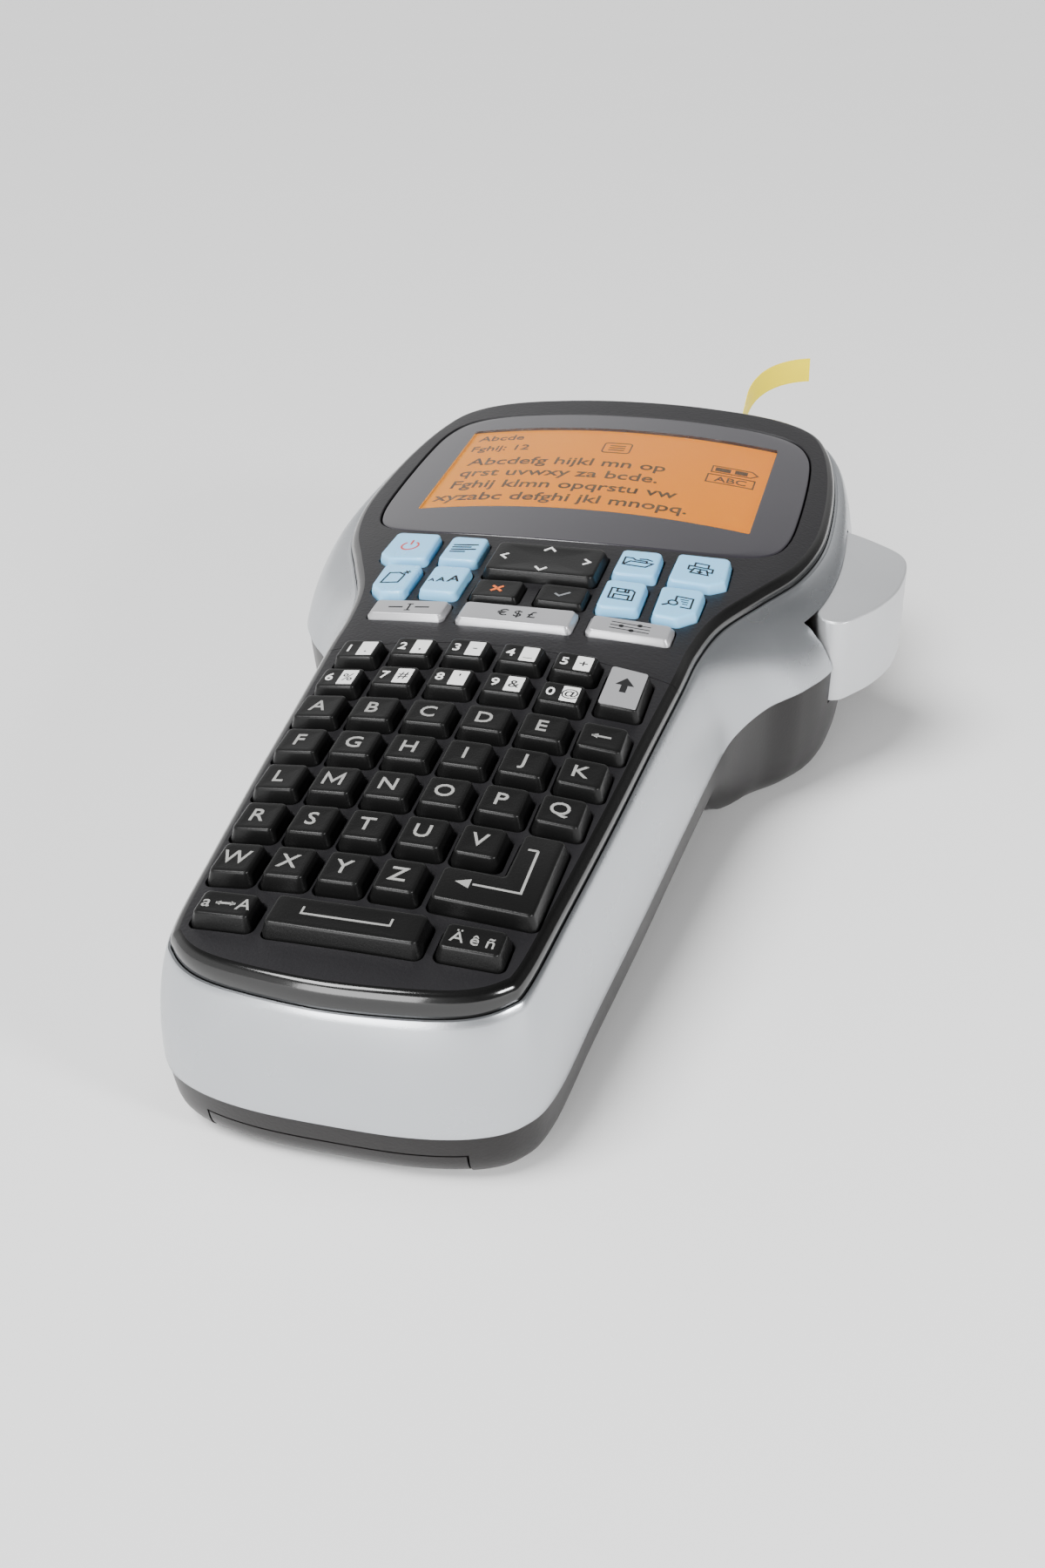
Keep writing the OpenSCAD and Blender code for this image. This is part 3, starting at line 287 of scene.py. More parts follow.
def carve(piece, patches, operation="DIFFERENCE", table=False):
    """Cuts the piece with a solid, or keeps what both share."""
    cutter = add("cutter", patches, table)
    m = piece.modifiers.new("carve", "BOOLEAN")
    m.object, m.operation, m.solver = cutter, operation, "EXACT"
    cut = bpy.data.meshes.new_from_object(piece.evaluated_get(bpy.context.evaluated_depsgraph_get()))
    if len(cut.polygons) < 6:
        raise RuntimeError(f"{piece.name}: nothing is left after a cut")
    piece.modifiers.remove(m)
    old, piece.data = piece.data, cut
    bpy.data.meshes.remove(old)
    bpy.data.objects.remove(cutter)
    return piece


EDGE_ANGLE = 32
KEY_EDGE_ANGLE = 50


def finish_piece(piece, material, node, stands_for=True, angle=EDGE_ANGLE):
    """Gives a piece its finish and shading, hangs it on its body, and hides the part that it stands for."""
    shade(piece.data, angle)
    if material:
        piece.data.materials.clear()
        piece.data.materials.append(material)
    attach(piece, BODY_OF[node])
    if stands_for:
        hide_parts(node)
    return piece


# ---- finishes ----
def set_sockets(node, values):
    """Sets a node's sockets; an underscore in a name stands for a space."""
    for key, value in values.items():
        node.inputs[key.replace("_", " ")].default_value = value


def shader_node(tree, kind, **values):
    """A new node of the kind, with the values on its sockets."""
    node = tree.nodes.new("ShaderNode" + kind)
    set_sockets(node, values)
    return node


def material(name, rough, tones, depth, metal=0.0, coat=0.0, blotch=60, grain=2500, spread=0.06, **sockets):
    """Moulded or painted surface: two close tones in soft blotches, a fine grain and an uneven gloss."""
    m = bpy.data.materials.new(name)
    m.use_nodes = True
    tree, link = m.node_tree, m.node_tree.links.new
    b = tree.nodes["Principled BSDF"]
    set_sockets(b, dict(Metallic=metal, Coat_Weight=coat, Coat_Roughness=0.08, **sockets))
    where = shader_node(tree, "TexCoord")
    soft = shader_node(tree, "TexNoise", Scale=blotch, Detail=4)
    link(where.outputs["Object"], soft.inputs["Vector"])
    mixer = tree.nodes.new("ShaderNodeMix")
    mixer.data_type = "RGBA"
    set_sockets(mixer, dict(A=(*tones[0], 1), B=(*tones[1], 1)))
    link(soft.outputs["Fac"], mixer.inputs["Factor"])
    link(mixer.outputs["Result"], b.inputs["Base Color"])
    gloss = shader_node(tree, "MapRange", To_Min=max(0.02, rough - spread), To_Max=rough + spread)
    link(soft.outputs["Fac"], gloss.inputs["Value"])
    link(gloss.outputs["Result"], b.inputs["Roughness"])
    fine = shader_node(tree, "TexNoise", Scale=grain, Detail=2)
    link(where.outputs["Object"], fine.inputs["Vector"])
    bump = shader_node(tree, "Bump", Strength=depth, Distance=0.0001)
    link(fine.outputs["Fac"], bump.inputs["Height"])
    link(bump.outputs["Normal"], b.inputs["Normal"])
    return m


def tones(colour, step=0.12):
    """Two close tones round a colour."""
    return [[c * (1 - step) for c in colour], [min(1, c * (1 + step)) for c in colour]]


INK = dict(grain=4000, depth=0.1)
FINISHES = {
    "plate": dict(rough=0.42, tones=tones((0.013, 0.0125, 0.014), 0.2), grain=1500, depth=0.55, spread=0.05,
                  Specular_IOR_Level=0.3),
    "plate_edge": dict(rough=0.14, coat=0.3, tones=tones((0.004, 0.004, 0.004)), depth=0.03),
    "band": dict(rough=0.27, metal=0.9, tones=tones((0.5, 0.52, 0.545), 0.05), grain=6000, depth=0.12,
                 spread=0.03),
    "shell": dict(rough=0.34, tones=tones((0.008, 0.007, 0.007), 0.2), grain=2200, depth=0.2,
                  Specular_IOR_Level=0.25),
    "lens": dict(rough=0.16, coat=0.25, tones=tones((0.03, 0.028, 0.034), 0.08), depth=0.0, spread=0.02),
    "key": dict(rough=0.32, tones=tones((0.006, 0.006, 0.006), 0.2), grain=2600, depth=0.2,
                Specular_IOR_Level=0.22),
    "blue": dict(rough=0.26, coat=0.35, tones=tones((0.25, 0.62, 0.95), 0.04), grain=1500, depth=0.06,
                 Subsurface_Weight=0.15, Subsurface_Scale=0.001),
    "bar": dict(rough=0.32, metal=0.5, tones=tones((0.46, 0.46, 0.475), 0.06), grain=5000, depth=0.15),
    "lever": dict(rough=0.34, metal=0.55, tones=tones((0.56, 0.57, 0.585), 0.04), grain=5000, depth=0.1),
    "film": dict(rough=0.4, tones=tones((0.93, 0.74, 0.0), 0.03), depth=0.05, Specular_IOR_Level=0.2),
    "ink_pale": dict(rough=0.5, tones=tones((0.3, 0.3, 0.29), 0.05), **INK),
    "ink_white": dict(rough=0.45, tones=tones((0.8, 0.8, 0.79), 0.03), **INK),
    "ink_dark": dict(rough=0.6, tones=tones((0.004, 0.004, 0.005), 0.1), **INK),
    "ink_red": dict(rough=0.5, tones=tones((0.55, 0.06, 0.05), 0.08), **INK),
    "ink_orange": dict(rough=0.5, tones=tones((0.8, 0.16, 0.03), 0.08), **INK),
    "ink_grey": dict(rough=0.5, tones=tones((0.2, 0.21, 0.22), 0.08), **INK),
    "steel": dict(rough=0.28, metal=1.0, tones=tones((0.55, 0.55, 0.57), 0.08), grain=3000, depth=0.2),
    "rubber": dict(rough=0.75, tones=tones((0.03, 0.03, 0.03), 0.2), grain=1500, depth=0.5),
    "silicone": dict(rough=0.6, tones=tones((0.3, 0.31, 0.32), 0.06), grain=1500, depth=0.3),
    "board": dict(rough=0.3, coat=0.4, tones=tones((0.02, 0.16, 0.06), 0.25), blotch=400, depth=0.2),
    "natural": dict(rough=0.45, tones=tones((0.72, 0.71, 0.66), 0.05), grain=1500, depth=0.2,
                    Subsurface_Weight=0.1, Subsurface_Scale=0.001),
    "brass": dict(rough=0.25, metal=1.0, tones=tones((0.78, 0.56, 0.25), 0.08), depth=0.1),
    "pack": dict(rough=0.4, tones=tones((0.04, 0.04, 0.05), 0.2), depth=0.2),
    "floor": dict(rough=0.8, tones=tones((0.9, 0.9, 0.9), 0.01), blotch=3, grain=300, depth=0.02,
                  Specular_IOR_Level=0.1),
}
made = {}


def finish(name):
    """The named finish, made once."""
    if name not in made:
        made[name] = material(name, **FINISHES[name])
    return made[name]


def glass(name):
    """Clear pane with faint unevenness."""
    return material(name, 0.03, tones=[(0.98, 0.97, 0.96), (1, 1, 1)], depth=0.0, spread=0.01,
                    Transmission_Weight=1.0, IOR=1.1)


def backlight(name, left, right):
    """Lit display whose colour changes from its left edge to its right."""
    m = material(name, 0.4, tones=tones([0.25 * c for c in left], 0.02), depth=0.0, Specular_IOR_Level=0.1)
    tree, link = m.node_tree, m.node_tree.links.new
    where = shader_node(tree, "TexCoord")
    across = shader_node(tree, "Mapping", Location=(0.5, 0, 0), Scale=(1 / 0.074, 1, 1))
    link(where.outputs["Object"], across.inputs["Vector"])
    fall = shader_node(tree, "SeparateXYZ")
    link(across.outputs["Vector"], fall.inputs["Vector"])
    glow = tree.nodes.new("ShaderNodeMix")
    glow.data_type = "RGBA"
    set_sockets(glow, dict(A=(*left, 1), B=(*right, 1)))
    link(fall.outputs["X"], glow.inputs["Factor"])
    b = tree.nodes["Principled BSDF"]
    link(glow.outputs["Result"], b.inputs["Emission Color"])
    set_sockets(b, dict(Emission_Strength=0.85))
    return m


# ---- key layout, as on the plate ----
ROW_A_Y = 66.8
ROW_PITCH = 10.43
KEY_PITCH = 9.68
ROW_TAPER = 0.0329
KEY_D = 8.0
KEY_FILL = 0.86
DIGIT_Y = (87.7, 77.8)
DIGIT_D = 7.2
DIGIT_PITCH = 9.76
ROW_COUNT = (6, 6, 6, 5, 4)


def rect(x, y, w, d):
    """Corner points of a rectangle round a centre."""
    return [(x - w / 2, y - d / 2), (x + w / 2, y - d / 2), (x + w / 2, y + d / 2), (x - w / 2, y + d / 2)]


def letter_key(c, r):
    """Letter keys narrow towards the front row by row."""
    pitch = KEY_PITCH * (1 - ROW_TAPER * r)
    return rect((c - 2.5) * pitch, ROW_A_Y - r * ROW_PITCH, KEY_FILL * pitch, KEY_D)


def digit_key(c, k):
    """Digit keys lie on a faint arc."""
    x = -24.1 + c * DIGIT_PITCH
    return rect(x, DIGIT_Y[k] - 0.003 * x * x, 0.84 * DIGIT_PITCH, DIGIT_D)


def mirror_key(q):
    """The key on the other side."""
    return [(-x, y) for x, y in reversed(q)]


SIZE_Q = [(13.2, 108.4), (21.2, 109.4), (21.1, 120.6), (13.1, 119.8)]
FORMAT_Q = [(13.2, 122), (21.7, 123), (21.5, 133.8), (13.4, 132.8)]
OUTER_LOW_Q = [(23.6, 108.6), (28.6, 108.8), (31.6, 112.4), (31.8, 121.8), (23.4, 120.6)]
OUTER_HIGH_Q = [(23.8, 122.8), (32, 123.6), (34.8, 126.4), (34.4, 136.6), (24, 134.6)]
OK_Q = [(1.5, 108.6), (11, 108.6), (11, 116.2), (1.5, 116.2)]
BAR_Q = [(13.3, 100.2), (28.6, 101.2), (28.6, 107.4), (13.3, 106.8)]
NAV_Q = [(-11.2, 118), (11.2, 118), (11.2, 131.2), (-11.2, 131.2)]
SYMBOLS_Q = [(-10.9, 99.6), (10.9, 99.6), (10.9, 107), (-10.9, 107)]
SHIFT_Q = [(20.6, 75.4), (28.4, 75.4), (28.4, 88), (20.6, 88.6)]
ENTER_Q = [(9.3, 20.9), (25.2, 20.9), (25.6, 39.4), (18.5, 39.4), (18.2, 29.1), (9.3, 29.1)]
CAPS_Q = [(-22.9, 11.8), (-13.4, 11.4), (-13.4, 17.6), (-22.9, 18)]
SPACE_Q = [(-11.6, 10.8), (11.6, 10.8), (11.6, 18), (-11.6, 18)]

LETTER_ROWS = {f"letters_row_{r + 1}": [letter_key(c, r) for c in range(5 if r == 0 else ROW_COUNT[r])]
               for r in range(5)}
BLACK_KEYS = {
    **LETTER_ROWS,
    "backspace_key": [letter_key(5, 0)],
    "digits_far_row": [digit_key(c, 0) for c in range(5)],
    "digits_near_row": [digit_key(c, 1) for c in range(5)],
    "shift_key": [SHIFT_Q], "enter_key": [ENTER_Q], "caps_key": [CAPS_Q],
    "accent_key": [mirror_key(CAPS_Q)], "space_key": [SPACE_Q],
}
BLUE_KEYS = {
    "power_key": mirror_key(OUTER_HIGH_Q), "format_key": mirror_key(FORMAT_Q),
    "new_label_key": mirror_key(OUTER_LOW_Q), "size_key": mirror_key(SIZE_Q), "open_key": FORMAT_Q,
    "print_key": OUTER_HIGH_Q, "save_key": SIZE_Q, "preview_key": OUTER_LOW_Q,
}
BAR_KEYS = {"insert_key": mirror_key(BAR_Q), "symbols_key": SYMBOLS_Q, "settings_key": BAR_Q}
DARK_KEYS = {"cancel_key": mirror_key(OK_Q), "ok_key": OK_Q}


def centre(q):
    """Middle of a key's box."""
    p = np.array(q, float)
    return (p.min(0) + p.max(0)) / 2


def key_plane(q):
    """Height of the plane that touches the plate at the key's middle."""
    c = centre(q)
    slope_y = -HEAD_TILT if c[1] > SPLIT_Y else 0.0
    base = float(top_z(c[0], c[1]))
    return lambda x, y: base - (x - c[0]) * c[0] / CROWN_R + (y - c[1]) * slope_y


def key_cap(q, height, slope, corner, soft=0.5, dish=0.08):
    """Key from rings: foot, straight neck, sloping walls, a quarter-round rim and a faintly hollow top."""
    plane = key_plane(q)
    turn = np.linspace(0, math.pi / 2, 6)
    profile = [(-0.35, -3.0), (-0.35, -2.25), (0.0, -2.25), (0.0, 0.25)]
    profile += [(slope + soft * (1 - math.cos(a)), height - soft * (1 - math.sin(a))) for a in turn]
    rings = []
    for depth, z in profile:
        ring = rounded(q, -depth, max(0.45, corner - 0.5 * max(0, depth)))
        rings.append(with_z(ring, plane(ring[:, 0], ring[:, 1]) + z))
    if len(q) > 5:
        return solid(rings)
    top = rings[-1]
    mid = np.append(centre(q), 0)
    for s in (0.8, 0.55, 0.3):
        ring = mid + (top - mid) * s
        ring[:, 2] = plane(ring[:, 0], ring[:, 1]) + height - dish * (1 - s * s)
        rings.append(ring)
    return solid(rings)


def key_pocket(q):
    """Cutter for a key's hole, widening a little at the plate's surface."""
    plane = key_plane(q)
    rings = []
    for grow, z in ((0.3, -12), (0.3, -0.3), (0.5, 0.1), (0.5, 3)):
        ring = rounded(q, grow, 1.4)
        rings.append(with_z(ring, plane(ring[:, 0], ring[:, 1]) + z))
    return solid(rings)


# ---- flat marks: slabs with z 0 below and 1 above, placed on a key later ----
def slab(ring):
    """Flat shape with a thickness."""
    low, high = with_z(np.array(ring, float), 0), with_z(np.array(ring, float), 1)
    return solid([low, high])


def dense(p, step=0.7):
    """The line with added points, so that it can follow a curved surface."""
    along = np.concatenate([[0], np.cumsum(np.linalg.norm(np.diff(p, axis=0), axis=1))])
    counts = np.maximum(1, np.ceil(np.diff(along) / step).astype(int))
    where = np.interp(np.arange(counts.sum() + 1), np.concatenate([[0], np.cumsum(counts)]), along)
    return np.column_stack([np.interp(where, along, p[:, k]) for k in range(2)])


def stroke(points, width):
    """Line of constant width along points."""
    p = dense(np.array(points, float))
    closed = np.allclose(p[0], p[-1])
    if closed:
        p = p[:-1]
        t = np.roll(p, -1, 0) - np.roll(p, 1, 0)
        before, after = p - np.roll(p, 1, 0), np.roll(p, -1, 0) - p
    else:
        t = np.gradient(p, axis=0)
        before = np.vstack([t[:1], p[1:] - p[:-1]])
        after = np.vstack([p[1:] - p[:-1], t[-1:]])
    before, after = (v / np.linalg.norm(v, axis=1, keepdims=True) for v in (before, after))
    normal = np.stack([-(before + after)[:, 1], (before + after)[:, 0]], 1)
    normal /= np.linalg.norm(normal, axis=1, keepdims=True)
    miter = 1 / np.maximum(0.5, np.abs(normal[:, 0] * -before[:, 1] + normal[:, 1] * before[:, 0]))
    side = normal * (width / 2 * miter)[:, None]
    one = np.ones(len(p))
    rings = np.stack([np.column_stack([p + side, one]), np.column_stack([p - side, one]),
                      np.column_stack([p - side, 0 * one]), np.column_stack([p + side, 0 * one])], 1)
    skin = [(rings.reshape(-1, 3), grid_faces(len(p), 4, closed, True))]
    return skin if closed else skin + lid(rings[0]) + lid(rings[-1])


def arc(x, y, r, a0, a1, n=24):
    """Points along an arc, angles in degrees."""
    a = np.radians(np.linspace(a0, a1, n + 1))
    return np.column_stack([x + r * np.cos(a), y + r * np.sin(a)])


LETTER_SIZE = 4.2
DIGIT_SIZE = 3.2
DIGITS = "1234567890"
SIGNS = ".,-_+%#'&@"
SIGN_LIFT = {".": -1.1, ",": -1.0, "_": -1.3, "'": 0.9}
letters_made = {}


def lettering(text, size, bold):
    """Text as slabs, centred on its box."""
    key = (text, size, bold)
    if key not in letters_made:
        curve = bpy.data.curves.new("text", "FONT")
        curve.body, curve.size, curve.offset, curve.extrude = text, size, bold * size, 0.5
        curve.resolution_u = 3
        holder = put_in_scene("text", curve)
        mesh = bpy.data.meshes.new_from_object(
            holder.evaluated_get(bpy.context.evaluated_depsgraph_get()))
        p = np.zeros(len(mesh.vertices) * 3)
        mesh.vertices.foreach_get("co", p)
        p = p.reshape(-1, 3)
        p[:, :2] -= (p[:, :2].min(0) + p[:, :2].max(0)) / 2
        p[:, 2] = (p[:, 2] > 0).astype(float)
        faces = [list(f.vertices) for f in mesh.polygons]
        bpy.data.objects.remove(holder)
        bpy.data.curves.remove(curve)
        bpy.data.meshes.remove(mesh)
        letters_made[key] = (p, faces)
    p, faces = letters_made[key]
    return [(p.copy(), faces)]


def letter(sign):
    """Legend of a letter key; M is drawn as one line, as its inner corners are too sharp to thicken."""
    if sign == "M":
        return stroke([(-1.4, -1.45), (-1.4, 1.45), (0, -0.7), (1.4, 1.45), (1.4, -1.45)], 0.44)
    return lettering(sign, LETTER_SIZE, 0.007)


def moved(patches, x, y):
    """Marks shifted in their own plane."""
    return [(np.column_stack([p[:, 0] + x, p[:, 1] + y, p[:, 2]]), f) for p, f in patches]


def on_key(patches, q, height, sink=0.14, rise=0.02):
    """Marks laid on a key's top, their lower side just under its surface."""
    plane, c = key_plane(q), centre(q)
    out = []
    for p, f in patches:
        x, y = p[:, 0] + c[0], p[:, 1] + c[1]
        out.append((np.column_stack([x, y, plane(x, y) + height - sink + p[:, 2] * (sink + rise)]), f))
    return out


def mark_mesh(name, patches):
    """Marks joined in one object; ragged faces are allowed."""
    points, faces, base = [], [], 0
    for p, f in patches:
        points.append(p)
        faces += [[i + base for i in face] for face in (f.tolist() if isinstance(f, np.ndarray) else f)]
        base += len(p)
    mesh = bpy.data.meshes.new(name)
    mesh.from_pydata(to_table(np.vstack(points)).tolist(), [], faces)
    bm = bmesh.new()
    bm.from_mesh(mesh)
    bmesh.ops.remove_doubles(bm, verts=bm.verts, dist=1e-7)
    bmesh.ops.recalc_face_normals(bm, faces=bm.faces)
    bm.to_mesh(mesh)
    bm.free()
    return put_in_scene(name, mesh)


def put_caps(node, name, keys, *shape):
    """Caps of a node's keys in one object; shape is what key_cap takes after the key."""
    caps = sum((key_cap(q, *shape) for q in keys), [])
    finish_piece(add(node + "_cap", caps), finish(name), node, angle=KEY_EDGE_ANGLE)


def put_marks(node, ink, patches):
    """Marks that ride with a key's node."""
    piece = mark_mesh(f"{node}_{ink}", patches)
    finish_piece(piece, finish(ink), node, stands_for=False)


# ---- icons, in mm round the key's middle ----
LINE = 0.34


def lines(*paths, width=LINE):
    """Several strokes of one width."""
    return sum((stroke(p, width) for p in paths), [])


def icon_power():
    """Ring open at the top with a short upright."""
    return stroke(arc(0, -0.3, 1.75, 125, 415), 0.4) + stroke([(0, 0.2), (0, 2.2)], 0.4)


def icon_format():
    """Lines of a paragraph."""
    ends = ((1.5, 2.6), (0.5, 1.4), (-0.5, 2.6), (-1.5, 0.6))
    return lines(*([(-2.6, y), (x, y)] for y, x in ends), width=0.42)


def icon_new():
    """Sheet with a spark at its corner."""
    sheet = stroke([(-2.2, -2.2), (1.3, -2.2), (1.7, 0.9), (0.4, 2), (-1.7, 2), (-2.2, -2.2)], LINE)
    rays = [stroke([(1.9 - 0.8 * math.cos(a), 2 - 0.8 * math.sin(a)),
                    (1.9 + 0.8 * math.cos(a), 2 + 0.8 * math.sin(a))], 0.24)
            for a in (0, math.pi / 3, 2 * math.pi / 3)]
    return sheet + sum(rays, [])


def icon_size():
    """The same letter in three sizes."""
    return (moved(lettering("A", 1.8, 0.015), -2.5, -0.55) + moved(lettering("A", 2.5, 0.015), -0.7, -0.3)
            + moved(lettering("A", 3.6, 0.015), 1.8, 0.1))


def icon_open():
    """Open folder."""
    return lines([(-2.7, -1.5), (-2.7, 1.5), (-1.2, 1.5), (-0.7, 0.9), (1.6, 0.9), (1.6, 0.2)],
                 [(-2.7, -1.5), (-1.5, 0.2), (2.9, 0.2), (1.7, -1.5), (-2.7, -1.5)],
                 [(0, 1.5), (1.4, 1.8), (2.6, 1.3)])


def icon_print():
    """Printer with a sheet."""
    return lines([(-1.3, 0.6), (-1.3, 2.1), (1.3, 2.1), (1.3, 0.6)],
                 [(-1.4, -0.9), (-2.3, -0.9), (-2.3, 0.6), (2.3, 0.6), (2.3, -0.9), (1.4, -0.9)],
                 [(-1.2, -0.2), (-1.7, -2.1), (1.7, -2.1), (1.2, -0.2), (-1.2, -0.2)],
                 [(0, -0.5), (0, -1.6)], [(-0.5, -1.2), (0, -1.7), (0.5, -1.2)])


def icon_save():
    """Diskette."""
    return lines([(-2.2, -2), (-2.2, 2), (1.6, 2), (2.2, 1.4), (2.2, -2), (-2.2, -2)],
                 [(-1.1, 2), (-1.1, 0.8), (1, 0.8), (1, 2)],
                 [(-1.4, -2), (-1.4, -0.3), (1.4, -0.3), (1.4, -2)]) + stroke([(0.4, 1.1), (0.4, 1.8)], 0.4)


def icon_preview():
    """Sheet of text with a magnifier."""
    return (lines([(-0.6, 0.2), (-0.6, 2.1), (2.5, 2.1), (2.5, -1.7), (0.6, -1.7)])
            + lines(*([(0.2 + 0.3 * k, y), (1.8, y)] for k, y in enumerate((1.2, 0.4, -0.4))), width=0.22)
            + lines(arc(-0.9, -0.5, 0.85, 0, 360)) + stroke([(-1.5, -1.1), (-2.7, -2.1)], 0.4))


def icon_insert():
    """A caret between two text lines."""
    return (lines([(-4, 0), (-1.2, 0)], [(1.2, 0), (4, 0)], width=0.45) + stroke([(0, -1.1), (0, 1.1)], 0.35)
            + lines([(-0.6, 1.2), (0.6, 1.2)], [(-0.6, -1.2), (0.6, -1.2)], width=0.3))


def icon_settings():
    """Three sliders."""
    return sum((stroke([(-3.6, y), (3.6, y)], 0.26) + slab(arc(x, y, 0.5, 0, 342, 19))
                for y, x in ((1.1, 1.6), (0, -1.6), (-1.1, 0.4))), [])


def icon_arrow(x0, x1, y, head):
    """Arrow that points to x1."""
    s = math.copysign(head, x0 - x1)
    point = slab([(x1, y), (x1 + s, y + head * 0.6), (x1 + s, y - head * 0.6)])
    return lines([(x0, y), (x1, y)]) + point


ICONS = {
    "power_key": icon_power, "format_key": icon_format, "new_label_key": icon_new, "size_key": icon_size,
    "open_key": icon_open, "print_key": icon_print, "save_key": icon_save, "preview_key": icon_preview,
}


# ---- settings ----
def length_setting(name, description, default, least, most):
    """A length that the panel shows, in metres."""
    return bpy.props.FloatProperty(name=name, description=description, default=default, min=least, max=most,
                                   unit="LENGTH")


def colour_setting(name, description, default):
    """A colour that the panel shows."""
    return bpy.props.FloatVectorProperty(name=name, description=description, default=default, size=3,
                                         subtype="COLOR", min=0, max=1)


class LabelMakerSettings(bpy.types.PropertyGroup):
    """Sizes and colours that a user would change."""
    key_height: length_setting("Letter key height", "Height of the letter keys above the plate",
                                0.0023, 0.001, 0.004)
    key_slope: length_setting("Letter key slope", "How far the letter keys' walls lean in",
                                0.0005, 0.0, 0.001)
    function_height: length_setting("Function key height", "Height of the blue keys above the plate",
                                0.0017, 0.001, 0.003)
    bar_height: length_setting("Bar key height", "Height of the silver bars above the plate",
                                0.0011, 0.0005, 0.002)
    edge_roll: length_setting("Plate edge roll", "Width of the plates' rounded edge",
                                0.0017, 0.0005, 0.003)
    glow_left: colour_setting("Display glow, left", "Colour of the display at its left edge",
                              (1.0, 0.33, 0.0))
    glow_right: colour_setting("Display glow, right", "Colour of the display at its right edge",
                              (1.0, 0.25, 0.0))
    light_power: bpy.props.FloatProperty(
        name="Soft lights", description="Power of the soft studio lights", default=5.0, min=0, unit="POWER")
    sun_power: bpy.props.FloatProperty(
        name="Overhead light", description="Strength of the wide overhead light", default=4.4, min=0)


def settings():
    """The scene's own settings."""
    return bpy.context.scene.label_maker


class LABELMAKER_OT_plates(bpy.types.Operator):
    """Build the keypad plate and the display plate with their key holes"""
    bl_idname = "label_maker.plates"
    bl_label = "Top plates"

    def execute(self, context):
        roll = settings().edge_roll / MM
        edge = inset(RIM, BAND_RIM + SEAM)
        turn = np.linspace(0, math.pi / 2, 9)
        rings = []
        inner = inset(edge, PLATE_T)
        under = with_z(inner, top_z(*inner.T) - PLATE_T)
        rings.append(under)
        rings.append(with_z(inner, top_z(*inner.T) - SKIRT))
        rings.append(with_z(edge, top_z(*edge.T) - SKIRT))
        for a in turn:
            ring = inset(edge, roll * (1 - math.cos(a)))
            drop = (top_z(*edge.T) - rim_z(*edge.T)) * 0.8
            rings.append(with_z(ring, top_z(*ring.T) - drop * (1 - math.sin(a))))
        patches = loft(rings[:2]) + coated(loft(rings[1:])) + ladder(rings[-1], top_z, 24)
        patches += ladder(under, lambda x, y: top_z(x, y) - PLATE_T, 24)
        head_q = list(BLUE_KEYS.values()) + list(BAR_KEYS.values()) + list(DARK_KEYS.values()) + [NAV_Q]
        pad_q = sum(BLACK_KEYS.values(), [])
        window = [with_z(inset(WINDOW, -0.3), -14.0),
                  with_z(inset(WINDOW, -0.3), top_z(*WINDOW.T) - 0.35),
                  with_z(inset(WINDOW, -0.6), top_z(*WINDOW.T) + 0.1), with_z(inset(WINDOW, -0.6), 4.0)]
        window_cut = loft(window) + ladder(window[0]) + ladder(window[-1])
        for node, sign, keys in (("display_bezel", 1, head_q), ("keypad_bezel", -1, pad_q)):
            plate = add(node + "_surface", patches, finishes=("plate", "plate_edge"))
            disc = drum((0, SPLIT_Y - SPLIT_R, -40), 2, SPLIT_R + sign * SEAM / 2, 80, 720)
            carve(plate, disc, "DIFFERENCE" if sign > 0 else "INTERSECT")
            if sign > 0:
                carve(plate, window_cut)
            carve(plate, sum((key_pocket(q) for q in keys), []))
            finish_piece(plate, None, node)
        return {"FINISHED"}


class LABELMAKER_OT_band(bpy.types.Operator):
    """Build the metallic side band, bowed between its two edges"""
    bl_idname = "label_maker.band"
    bl_label = "Side band"

    def execute(self, context):
        mid = inset((RIM + LOW) / 2, -0.6)
        top = with_z(RIM, rim_z(*RIM.T) - 0.25)
        bulge, foot = with_z(mid, -12.5), with_z(LOW, 0.35 - BAND_LOW)
        rings = [with_z(inset(RIM, BAND_RIM), rim_z(*RIM.T) + 0.02), with_z(inset(RIM, 0.22), rim_z(*RIM.T))]
        for v in np.linspace(0, 1, 17):
            rings.append((1 - v) * (1 - 2 * v) * top + 4 * v * (1 - v) * bulge + v * (2 * v - 1) * foot)
        rings += [with_z(inset(LOW, 0.12), 0.1 - BAND_LOW), with_z(inset(LOW, 0.5), -BAND_LOW),
                  with_z(inset(LOW, 2.3), -BAND_LOW), with_z(inset((RIM + LOW) / 2, 2), -14.5),
                  with_z(inset(RIM, 3.4), top_z(*inset(RIM, 3.4).T) - SKIRT - 2),
                  with_z(inset(RIM, 3.4), top_z(*inset(RIM, 3.4).T) - SKIRT - 0.3),
                  with_z(inset(RIM, BAND_RIM), top_z(*RIM.T) - SKIRT - 0.3)]
        band = add("side_band_surface", loft(rings, True))
        cut_for_lever(band)
        carve(band, block((21.5, BODY_L - 8, -20.6), (23.3, BODY_L + 2, -12)))
        finish_piece(band, finish("band"), "side_band")
        return {"FINISHED"}


WING = [(1.5, 2.5), (2.2, -10), (4, -20), (6.2, -29), (8.5, -35.6), (12.4, -36.4), (15.8, -33), (19.2, -28),
        (22, -21), (23, -12), (21.6, -6), (16, -1), (9, 3.2), (4, 3.6)]
PIVOT = (44, 170)
LEVER_LOW, LEVER_HIGH = -30.0, -12.0
LEVER_TURN = 10
LEVER_GAP = 0.35
LEVER_EDGE = 0.5
PIN_HOLE_R = 1.55


